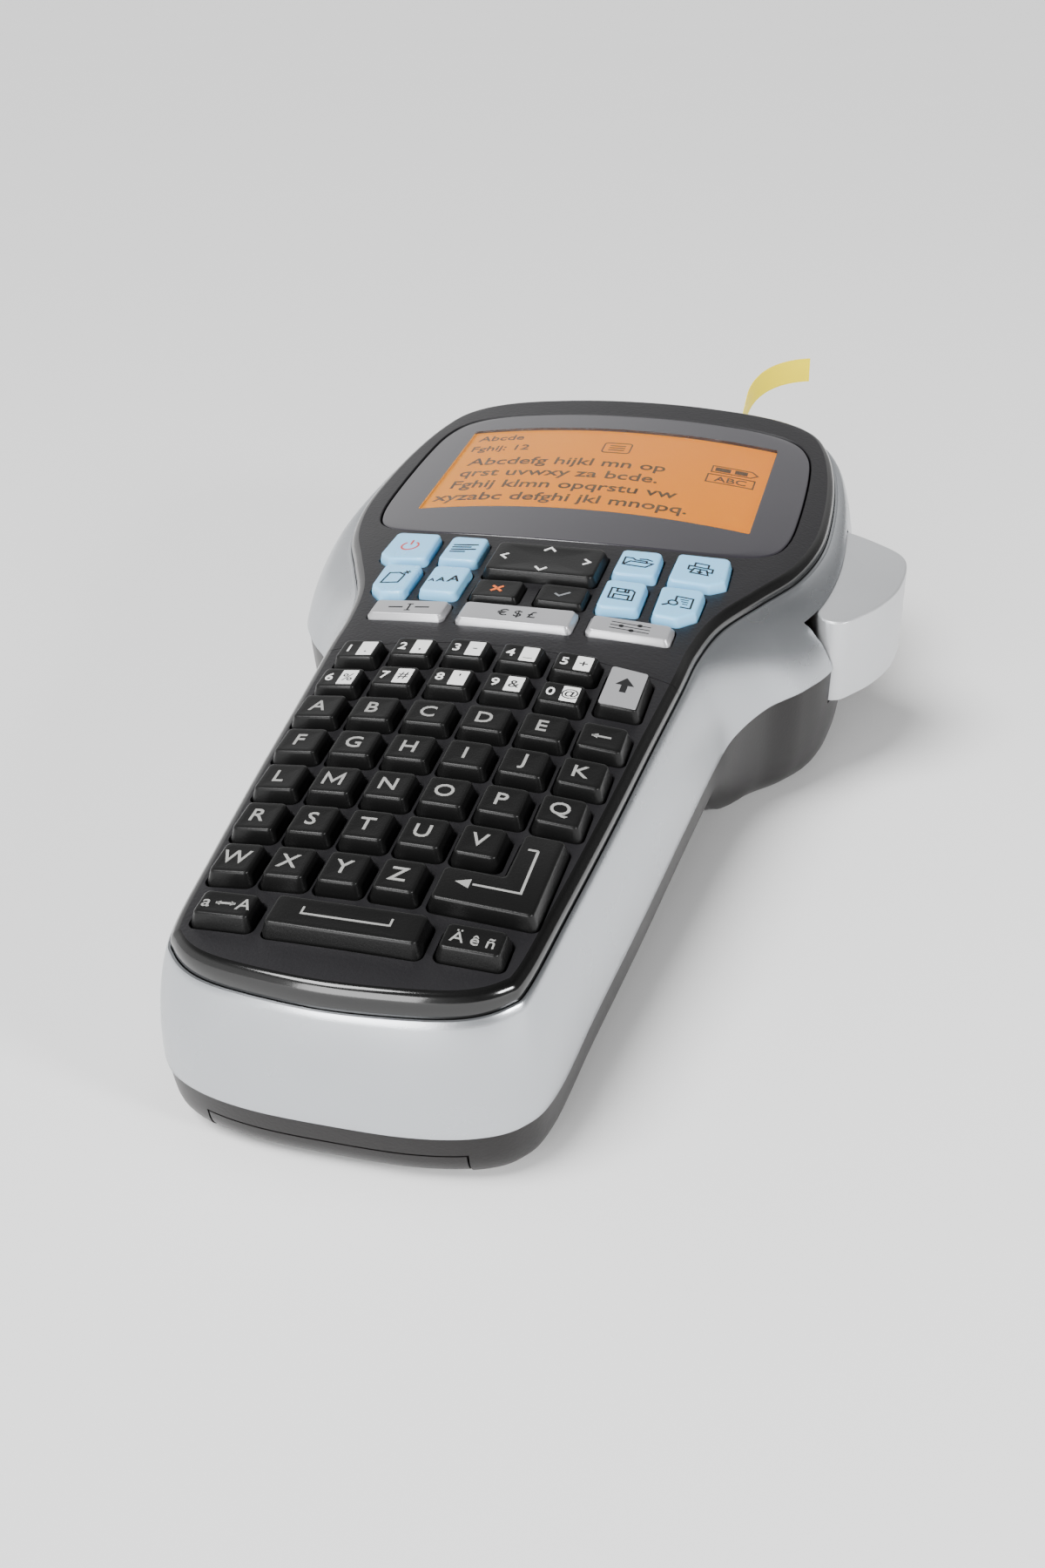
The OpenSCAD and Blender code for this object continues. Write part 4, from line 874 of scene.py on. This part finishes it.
def wing_ring(steps=8):
    """The lever in plan, counter-clockwise round its pivot."""
    ring = closed_curve(WING, steps)
    area = np.sum(ring[:, 0] * np.roll(ring[:, 1], -1) - ring[:, 1] * np.roll(ring[:, 0], -1))
    return ring if area > 0 else ring[::-1]


def cut_for_lever(piece):
    """Cuts the room that the lever passes through: its plan, a little larger, at steps of its turn."""
    ring = inset(wing_ring(3), -LEVER_GAP)
    for turn in np.radians((0, 3.5, 7, LEVER_TURN + 0.5)):
        x = ring[:, 0] * math.cos(turn) + ring[:, 1] * math.sin(turn)
        y = ring[:, 1] * math.cos(turn) - ring[:, 0] * math.sin(turn)
        swept = np.column_stack([x, y]) + PIVOT
        low, high = with_z(swept, LEVER_LOW - LEVER_GAP), with_z(swept, LEVER_HIGH + LEVER_GAP)
        carve(piece, solid([low, high]))


def base_z(y):
    """Underside of the shell: the flat grip, then a smooth step down to the head's base."""
    t = ramp((y - STEP_Y[0]) / (STEP_Y[1] - STEP_Y[0]))
    return -GRIP_DEPTH * (1 - t) + level_z(np.maximum(y, STEP_Y[1]), FOOT_H) * t


def shell_rings(grow, lift):
    """Rings of the lower shell from its edge down: the wall draws in as a sixth power of the depth."""
    rings = []
    for s in SHELL_STEPS:
        pull = (0.55 + 0.45 * ramp((LOW[:, 1] - 92) / 20)) * 6
        r = inset(LOW, 0.3 + grow + pull * (0.12 * s + 0.88 * s ** 6))
        rings.append(with_z(r, -BAND_LOW * (1 - s) + s * (base_z(r[:, 1]) + lift)))
    return rings


def shell_wall(lift, wall):
    """The lower shell as a solid wall, raised by lift at its base."""
    outer, inner = shell_rings(0, lift), shell_rings(wall, lift + wall)
    return loft(inner[::-1] + outer) + ladder(inner[-1]) + ladder(outer[-1])


SHELL_STEPS = (0, 0.2, 0.4, 0.55, 0.68, 0.78, 0.86, 0.92, 0.96, 0.985, 1)
COVER_BOX = ((-19.4, -20, -80), (19.4, 88, -26.4))
COVER_GAP = 0.3
COVER_T = 2.0
DOOR_GAP = 0.35
JACK_X, JACK_Z, JACK_R = -30, -30, 3.7
PORT_BOX = ((-19.2, 209, -32.3), (-10.8, 230, -27.7))
SCREW_R, SCREW_DEPTH = 2.7, 2.4
EAR_XS, EAR_R, EAR_W = (-33.2, 28.6), 2.2, 4.6


class LABELMAKER_OT_shell(bpy.types.Operator):
    """Build the lower shell and the battery cover"""
    bl_idname = "label_maker.shell"
    bl_label = "Lower shell"

    def execute(self, context):
        shell = add("bottom_shell_surface", shell_wall(0, WALL))
        lo, hi = COVER_BOX
        carve(shell, block((lo[0] - COVER_GAP, *lo[1:]), [v + COVER_GAP for v in hi]))
        cut_for_lever(shell)
        carve(shell, drum((JACK_X, 205, JACK_Z), 1, JACK_R, 20))
        carve(shell, block(*PORT_BOX))
        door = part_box("cassette_door")
        lo, hi = np.array(door[0]) / MM - DOOR_GAP, np.array(door[1]) / MM + DOOR_GAP
        carve(shell, block((lo[0], lo[1], -5), (hi[0], hi[1], 9)), table=True)
        for x, y, base in screw_places():
            carve(shell, drum((x, y, -80), 2, SCREW_R, 80 + base + SCREW_DEPTH))
        ears = []
        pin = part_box("door_hinge_pin")
        y, z = ((pin[0][k] + pin[1][k]) / 2 / MM for k in (1, 2))
        for x in EAR_XS:
            ears += drum((x, y, z), 0, EAR_R, EAR_W) + block((x, y, FOOT_H + 0.3), (x + EAR_W, y + 4.5, z))
        ear_piece = add("hinge_ears", ears, table=True)
        finish_piece(ear_piece, finish("shell"), "bottom_shell", stands_for=False)
        finish_piece(shell, finish("shell"), "bottom_shell")
        cover = add("battery_cover_surface", shell_wall(0.4, COVER_T))
        carve(cover, block(*COVER_BOX), "INTERSECT")
        finish_piece(cover, finish("shell"), "battery_cover")
        return {"FINISHED"}


def screw_places():
    """Places of the case screws in plan, with the height of the shell's base there."""
    return [(s * x, y, float(base_z(y))) for x, y in ((27, 94), (40.5, 140)) for s in (-1, 1)]


WINDOW_EDGE = 0.45


def window_top(x, y):
    """Upper face of the window, just under the crown."""
    return top_z(x, y) - 0.12


def window_base(x, y):
    """Lower face of the window."""
    return window_top(x, y) - 1.0


class LABELMAKER_OT_display(bpy.types.Operator):
    """Build the tinted window, its clear pane and the lit display with its marks"""
    bl_idname = "label_maker.display"
    bl_label = "Display"

    def execute(self, context):
        turn = np.linspace(0, math.pi / 2, 5)
        rings = [with_z(WINDOW, window_base(*WINDOW.T))]
        height = window_top(*WINDOW.T)
        for a in turn:
            edge, drop = inset(WINDOW, WINDOW_EDGE * (1 - math.cos(a))), WINDOW_EDGE * (1 - math.sin(a))
            rings.append(with_z(edge, height - drop))
        patches = loft(rings) + ladder(rings[-1], window_top, 24) + ladder(rings[0], window_base, 24)
        window = add("display_window_surface", patches)
        opening = with_z(rounded(rect(*VIEW), 0, 0.5), -10)
        carve(window, solid([opening, opening + (0, 0, 14)]))
        finish_piece(window, finish("lens"), "display_window")
        pane_ring = rounded(rect(*VIEW), -0.02, 0.5, 8)
        pane = add("display_pane", pane_grid(pane_ring, window_top, 0.9))
        finish_piece(pane, glass("pane"), "display_window", stands_for=False)
        colours = settings()
        panel = add("display_panel", pane_grid(rounded(rect(*VIEW), 0.4, 0.5, 8), window_base, 0.5))
        finish_piece(panel, backlight("backlight", colours.glow_left, colours.glow_right), "lcd_module",
                     stands_for=False)
        marks = mark_mesh("display_marks", on_display(display_marks()))
        finish_piece(marks, finish("ink_lcd"), "lcd_module", stands_for=False)
        return {"FINISHED"}


VIEW = (0, 174.3, 70.8, 44.2)
SAMPLE_LINES = (
    ("Abcde", 4.2, 2, 4.0), ("Fghij: 12", 4.2, 2, 10.6), ("Abcdefg hijkl mn op", 5.6, 3.5, 18.6),
    ("qrst uvwxy za bcde.", 5.6, 3.5, 24.9), ("Fghij klmn opqrstu vw", 5.6, 3.5, 31.4),
    ("xyzabc defghi jkl mnopq.", 5.6, 1.5, 38),
)
FINISHES["ink_lcd"] = dict(rough=0.5, tones=tones((0.07, 0.035, 0.015), 0.1), depth=0.05)


def pane_grid(ring, surface, thick, columns=25):
    """Rectangular sheet that follows the crown: columns across, lifted onto the surface."""
    lo, hi = ring.min(0), ring.max(0)
    x = np.linspace(lo[0], hi[0], columns)
    xs = np.concatenate([x, x[::-1]])
    ys = np.concatenate([np.full(columns, lo[1]), np.full(columns, hi[1])])
    rings = [np.column_stack([xs, ys, surface(xs, ys) + dz]) for dz in (0, -thick)]
    caps = []
    for r in rings:
        g = np.stack([r[:columns], r[columns:][::-1]])
        caps.append((g.reshape(-1, 3), grid_faces(2, columns)))
    return loft(rings) + caps


def display_marks():
    """Sample lines of the alphabet, a page mark, a battery mark and a framed ABC."""
    w, d = VIEW[2], VIEW[3]
    text = []
    for words, size, indent, drop in SAMPLE_LINES:
        p = lettering(words, size, 0.012)
        half = (p[0][0][:, 0].max() - p[0][0][:, 0].min()) / 2
        text += moved(p, -w / 2 + indent + half, d / 2 - drop)
    edge = rounded(rect(0.5, d / 2 - 9.4, 6.2, 5.4), 0, 0.8)
    page = stroke(np.vstack([edge, edge[:1]]), 0.35)
    bars = sum((stroke([(-1.3, d / 2 - 9.4 + k), (2.3, d / 2 - 9.4 + k)], 0.4) for k in (-1.2, 0, 1.2)), [])
    bx, by = w / 2 - 7.5, d / 2 - 14.5
    cell = stroke([(bx - 5, by - 1.6), (bx + 3.6, by - 1.6), (bx + 5, by), (bx + 3.6, by + 1.6),
                   (bx - 5, by + 1.6), (bx - 5, by - 1.6)], 0.35)
    cell += slab(rect(bx - 2.6, by, 3.4, 1.9)) + slab(rect(bx + 1.4, by, 2.8, 1.9))
    box = stroke([(bx - 5.4, by - 7), (bx + 4.8, by - 7), (bx + 4.8, by - 2.9), (bx - 5.4, by - 2.9),
                  (bx - 5.4, by - 7)], 0.35)
    abc = moved(lettering("ABC", 3.6, 0.012), bx - 0.3, by - 4.95)
    return text + page + bars + cell + box + abc


def on_display(patches):
    """Marks laid just above the lit panel."""
    out = []
    for p, f in patches:
        x, y = p[:, 0] + VIEW[0], p[:, 1] + VIEW[1]
        out.append((np.column_stack([x, y, top_z(x, y) - 1.16 + p[:, 2] * 0.1]), f))
    return out


class LABELMAKER_OT_keyboard(bpy.types.Operator):
    """Build the black keys of the keypad with their legends"""
    bl_idname = "label_maker.keyboard"
    bl_label = "Keyboard"

    def execute(self, context):
        h, slope = settings().key_height / MM, settings().key_slope / MM
        for node, keys in BLACK_KEYS.items():
            put_caps(node, "key", keys, h, slope, 1.1)
        text = iter("ABCDEFGHIJKLMNOPQRSTUVWXYZ")
        for node, keys in LETTER_ROWS.items():
            marks = sum((on_key(moved(letter(next(text)), -0.2, 0.1), q, h) for q in keys), [])
            put_marks(node, "ink_pale", marks)
        for k, node in enumerate(("digits_far_row", "digits_near_row")):
            digits, patches, signs = [], [], []
            for c, q in enumerate(BLACK_KEYS[node]):
                digits += on_key(moved(lettering(DIGITS[5 * k + c], DIGIT_SIZE, 0.008), -1.9, 0.1), q, h)
                patches += on_key(slab(rounded(rect(1.45, 0, 2.9, 4.5), 0, 0.15, 2)), q, h)
                sign = SIGNS[5 * k + c]
                legend = moved(lettering(sign, 3.1, 0.004), 1.45, SIGN_LIFT.get(sign, 0))
                signs += on_key(legend, q, h, rise=0.04)
            put_marks(node, "ink_white", digits + patches)
            put_marks(node, "ink_dark", signs)
        put_marks("backspace_key", "ink_pale", on_key(icon_arrow(1.5, -1.7, 0, 1.0), letter_key(5, 0), h))
        corner = [(4.4, 5.2), (4.4, -4.6), (-2.6, -4.6)]
        enter = stroke(corner, 0.4) + slab([(-5.2, -4.6), (-3.0, -3.6), (-3.0, -5.6)])
        enter += stroke([(4.4, 5.2), (2.9, 5.2)], 0.4)
        put_marks("enter_key", "ink_pale", on_key(enter, ENTER_Q, h))
        space = stroke([(-6.5, 1.1), (-6.5, -0.3), (6.5, -0.3), (6.5, 1.1)], 0.3)
        put_marks("space_key", "ink_pale", on_key(space, SPACE_Q, h))
        caps = moved(lettering("a", DIGIT_SIZE, 0.006), -2.9, -0.25)
        caps += moved(lettering("A", DIGIT_SIZE, 0.006), 2.9, 0)
        caps += icon_arrow(0, 1.5, 0, 0.7) + icon_arrow(0, -1.5, 0, 0.7)
        put_marks("caps_key", "ink_pale", on_key(caps, CAPS_Q, h))
        accents = lettering("Ä ê ñ", 2.9, 0.003)
        put_marks("accent_key", "ink_pale", on_key(accents, mirror_key(CAPS_Q), h))
        top = [(x + (0.75 if x < 24 else -0.75), y + (0.75 if y < 80 else -0.75)) for x, y in SHIFT_Q]
        c = centre(SHIFT_Q)
        plate = slab(rounded([(x - c[0], y - c[1]) for x, y in top], 0, 0.5, 4))
        put_marks("shift_key", "bar", on_key(plate, SHIFT_Q, h, rise=0.05))
        arrow = slab([(-0.55, -1.6), (0.55, -1.6), (0.55, 0.6), (1.6, 0.6), (0, 2.9), (-1.6, 0.6),
                      (-0.55, 0.6)])
        put_marks("shift_key", "ink_dark", on_key(arrow, SHIFT_Q, h, rise=0.09))
        return {"FINISHED"}


class LABELMAKER_OT_function_keys(bpy.types.Operator):
    """Build the blue keys, the silver bars, the navigation pad and the cancel and OK keys"""
    bl_idname = "label_maker.function_keys"
    bl_label = "Function keys"

    def execute(self, context):
        high, low = settings().function_height / MM, settings().bar_height / MM
        for node, q in BLUE_KEYS.items():
            put_caps(node, "blue", [q], high, 0.25, 1.2, 0.55, 0.06)
            put_marks(node, "ink_red" if node == "power_key" else "ink_dark", on_key(ICONS[node](), q, high))
        for node, q in BAR_KEYS.items():
            put_caps(node, "bar", [q], low, 0.5, 1.1, 0.35, 0.0)
        put_marks("insert_key", "ink_dark", on_key(icon_insert(), mirror_key(BAR_Q), low))
        put_marks("settings_key", "ink_dark", on_key(icon_settings(), BAR_Q, low))
        put_marks("symbols_key", "ink_dark", on_key(lettering("€ $ £", DIGIT_SIZE, 0.012), SYMBOLS_Q, low))
        for node, q in DARK_KEYS.items():
            put_caps(node, "key", [q], low + 0.1, 0.35, 1.0, 0.35, 0.05)
        cross = stroke([(-1, -1), (1, 1)], 0.5) + stroke([(-1, 1), (1, -1)], 0.5)
        put_marks("cancel_key", "ink_orange", on_key(cross, mirror_key(OK_Q), low + 0.1))
        tick = stroke([(-1.3, 0), (-0.4, -0.8), (1.4, 0.9)], 0.4)
        put_marks("ok_key", "ink_grey", on_key(tick, OK_Q, low + 0.1))
        put_caps("nav_pad", "key", [NAV_Q], high + 0.2, 0.5, 1.6, 0.5, 0.2)
        tips = []
        for x, y, dx, dy in ((0, 4.2, 0, 0.7), (0, -4.2, 0, -0.7), (8.2, 0, 0.6, 0), (-8.2, 0, -0.6, 0)):
            tips += stroke([(x - (1.1 if dy else dx), y - (dy if dy else 1.1)), (x + dx, y + dy),
                            (x + (1.1 if dy else -dx), y + (-dy if dy else 1.1))], 0.4)
        put_marks("nav_pad", "ink_white", on_key(tips, NAV_Q, high + 0.2, sink=0.3))
        return {"FINISHED"}


class LABELMAKER_OT_lever(bpy.types.Operator):
    """Build the cutter lever with its rounded edges"""
    bl_idname = "label_maker.lever"
    bl_label = "Cutter lever"

    def execute(self, context):
        ring = wing_ring() + PIVOT
        low, high = [], []
        for a in np.linspace(0, math.pi / 2, 6):
            edge, depth = inset(ring, LEVER_EDGE * (1 - math.cos(a))), LEVER_EDGE * (1 - math.sin(a))
            low.insert(0, with_z(edge, LEVER_LOW + depth))
            high.append(with_z(edge, LEVER_HIGH - depth))
        lever = add("cutter_lever_surface", solid(low + high))
        pin_hole = drum((*PIVOT, -40), 2, PIN_HOLE_R, 60)
        carve(lever, pin_hole)
        carve(lever, drum((*PIVOT, -16), 2, 4.2, 10))
        hub = add("cutter_lever_hub", drum((*PIVOT, -30), 2, 4.0, 14))
        carve(hub, pin_hole)
        finish_piece(hub, finish("lever"), "cutter_lever", stands_for=False)
        finish_piece(lever, finish("lever"), "cutter_lever")
        tip = np.array(PIVOT) + (-9.4, 34)
        corners = [(PIVOT[0] - 2.4, PIVOT[1] + 2), (PIVOT[0] + 2.4, PIVOT[1] + 2), (tip[0] + 2.2, tip[1]),
                   (tip[0] - 2.2, tip[1])]
        ring = rounded(corners, 0, 0.8, 4)
        arm = solid([with_z(ring, -26.1), with_z(ring, -24)]) + drum((*tip, -27.8), 2, 1.5, 1.9)
        finish_piece(add("cutter_lever_arm", arm), finish("lever"), "cutter_lever", stands_for=False)
        return {"FINISHED"}


class LABELMAKER_OT_label(bpy.types.Operator):
    """Build the printed label that curls out of its slot"""
    bl_idname = "label_maker.label"
    bl_label = "Label"

    def execute(self, context):
        x0, bend, radius = 22.4, BODY_L + 19, 18.0
        straight = np.linspace(185, bend, 24)[:-1]
        a = np.radians(180 - np.linspace(0, 75, 40))
        x = np.concatenate([np.full(23, x0), x0 + radius + radius * np.cos(a)])
        y = np.concatenate([straight, bend + radius * np.sin(a)])
        lift = 8 * ramp((y - BODY_L) / (bend + radius - BODY_L))
        t = np.gradient(np.column_stack([x, y]), axis=0)
        t /= np.linalg.norm(t, axis=1, keepdims=True)
        side = np.stack([-t[:, 1], t[:, 0]], 1) * 0.1
        z = -16.4 + lift
        rings = [np.column_stack([x + s * side[:, 0], y + s * side[:, 1], z + w])
                 for s, w in ((-1, -3), (1, -3), (1, 3), (-1, 3))]
        g = np.stack(rings, 1)
        patches = [(g.reshape(-1, 3), grid_faces(len(x), 4, False, True))] + lid(g[0]) + lid(g[-1])
        finish_piece(add("label_tape_surface", patches), finish("film"), "label_tape")
        return {"FINISHED"}


INSIDE = {
    "lcd_module": "pack",
    "main_pcb": "board", "keypad_mat": "silicone", "battery_pack": "pack", "battery_contacts": "brass",
    "cassette_door": "shell", "door_hinge_pin": "steel", "cassette_case": "natural", "tape_spool": "film",
    "print_head": "steel", "platen_roller": "rubber", "platen_gear": "natural", "idler_gear": "natural",
    "drive_motor": "steel", "motor_pinion": "brass", "mech_frame": "steel", "cutter_pivot_pin": "steel",
    "cutter_blade": "steel", "cutter_spring": "steel", "dc_jack": "pack", "usb_port": "steel",
    "case_screws": "steel", "rubber_feet": "rubber", "nav_gimbal": "natural",
}


class LABELMAKER_OT_inside(bpy.types.Operator):
    """Give the carried-over pieces their finishes"""
    bl_idname = "label_maker.inside"
    bl_label = "Inner pieces"

    def execute(self, context):
        for node, name in INSIDE.items():
            piece = frame["nodes"][node]
            piece.data.materials.clear()
            piece.data.materials.append(finish(name))
        return {"FINISHED"}


CAMERA_PLACE = (72.4, -137.0, 140.5)
CAMERA_TURN = (16.909, 35.282, -3.169)
CAMERA_LENS = 36.04
FLOOR_HALF = 30000


class LABELMAKER_OT_stage(bpy.types.Operator):
    """Set the floor, the lights and the camera"""
    bl_idname = "label_maker.stage"
    bl_label = "Studio"

    def execute(self, context):
        slab_of_floor = block((-FLOOR_HALF, -FLOOR_HALF, -20), (FLOOR_HALF, FLOOR_HALF, -0.05))
        floor = add("floor", slab_of_floor, table=True)
        floor.data.materials.append(finish("floor"))
        world = bpy.data.worlds.new("studio")
        bpy.context.scene.world = world
        world.use_nodes = True
        sky(world.node_tree)
        power = settings().light_power
        sun = bpy.data.lights.new("sun", "SUN")
        sun.energy, sun.angle = settings().sun_power, math.radians(30)
        put_in_scene("sun", sun).rotation_euler = (math.radians(22), math.radians(-20), 0)
        area_light("neck_light", (0.62, -0.34, 0.3), (0.05, 0.02, 0.03), 0.12, power * 0.8)
        area_light("front_light", (-0.15, -0.9, 0.25), (0, -0.12, 0.02), 0.5, power * 1.6)
        camera = bpy.data.cameras.new("camera")
        camera.lens, camera.sensor_width = CAMERA_LENS, 36.0
        camera.clip_start = 0.01
        holder = put_in_scene("camera", camera)
        az, el, roll = (math.radians(v) for v in CAMERA_TURN)
        back = np.array([math.sin(az) * math.cos(el), -math.cos(az) * math.cos(el), math.sin(el)])
        right = np.array([math.cos(az), math.sin(az), 0])
        up = np.cross(back, right)
        right, up = (math.cos(roll) * right + math.sin(roll) * up,
                     -math.sin(roll) * right + math.cos(roll) * up)
        lean = Matrix.Rotation(TILT, 4, "X")
        pose = Matrix([[right[k], up[k], back[k], 0] for k in range(3)] + [[0, 0, 0, 1]])
        holder.matrix_world = Matrix.Translation(to_table(CAMERA_PLACE)) @ lean @ pose
        bpy.context.scene.camera = holder
        return {"FINISHED"}


def sky(tree):
    """Studio surround: bright walls up to a third of the way, a dim ceiling and a shaded right side."""
    link = tree.links.new
    where = shader_node(tree, "TexCoord")
    split = shader_node(tree, "SeparateXYZ")
    link(where.outputs["Generated"], split.inputs["Vector"])
    shares = []
    for axis, near, far, low, high in (("Z", 0.42, 0.72, 1.0, 0.16), ("X", -0.3, 0.7, 1.05, 0.16)):
        share = tree.nodes.new("ShaderNodeMapRange")
        share.interpolation_type = "SMOOTHSTEP"
        set_sockets(share, dict(From_Min=near, From_Max=far, To_Min=low, To_Max=high))
        link(split.outputs[axis], share.inputs["Value"])
        shares.append(share)
    both = tree.nodes.new("ShaderNodeMath")
    both.operation = "MULTIPLY"
    for k, share in enumerate(shares):
        link(share.outputs["Result"], both.inputs[k])
    light = tree.nodes["Background"]
    set_sockets(light, dict(Color=(1, 1, 1, 1)))
    link(both.outputs["Value"], light.inputs["Strength"])


def area_light(name, place, target, size, power):
    """Square soft light aimed at a point."""
    light = bpy.data.lights.new(name, "AREA")
    light.size, light.energy = size, power
    holder = put_in_scene(name, light)
    aim = Matrix.Translation(place).to_translation() - Matrix.Translation(target).to_translation()
    holder.matrix_world = Matrix.Translation(place) @ aim.to_track_quat("Z", "Y").to_matrix().to_4x4()
    return holder


class LABELMAKER_PT_panel(bpy.types.Panel):
    """Lists the label maker's steps and settings"""
    bl_idname = "LABELMAKER_PT_panel"
    bl_label = "Label Maker"
    bl_space_type = "VIEW_3D"
    bl_region_type = "UI"
    bl_category = "Label Maker"

    def draw(self, context):
        for name in LabelMakerSettings.__annotations__:
            self.layout.prop(context.scene.label_maker, name)
        for step in STEPS:
            self.layout.operator(step.bl_idname)


STEPS = (LABELMAKER_OT_stage, LABELMAKER_OT_plates, LABELMAKER_OT_band, LABELMAKER_OT_shell,
         LABELMAKER_OT_display, LABELMAKER_OT_keyboard, LABELMAKER_OT_function_keys, LABELMAKER_OT_lever,
         LABELMAKER_OT_label, LABELMAKER_OT_inside)
CLASSES = (LabelMakerSettings, *STEPS, LABELMAKER_PT_panel)


def register():
    """Adds the classes and the scene's settings."""
    for c in CLASSES:
        bpy.utils.register_class(c)
    bpy.types.Scene.label_maker = bpy.props.PointerProperty(type=LabelMakerSettings)


def unregister():
    """Removes what register added."""
    del bpy.types.Scene.label_maker
    for c in reversed(CLASSES):
        bpy.utils.unregister_class(c)


def main():
    """Builds everything in order."""
    register()
    for step in STEPS:
        group, name = step.bl_idname.split(".")
        getattr(getattr(bpy.ops, group), name)()


if __name__ == "__main__":
    main()
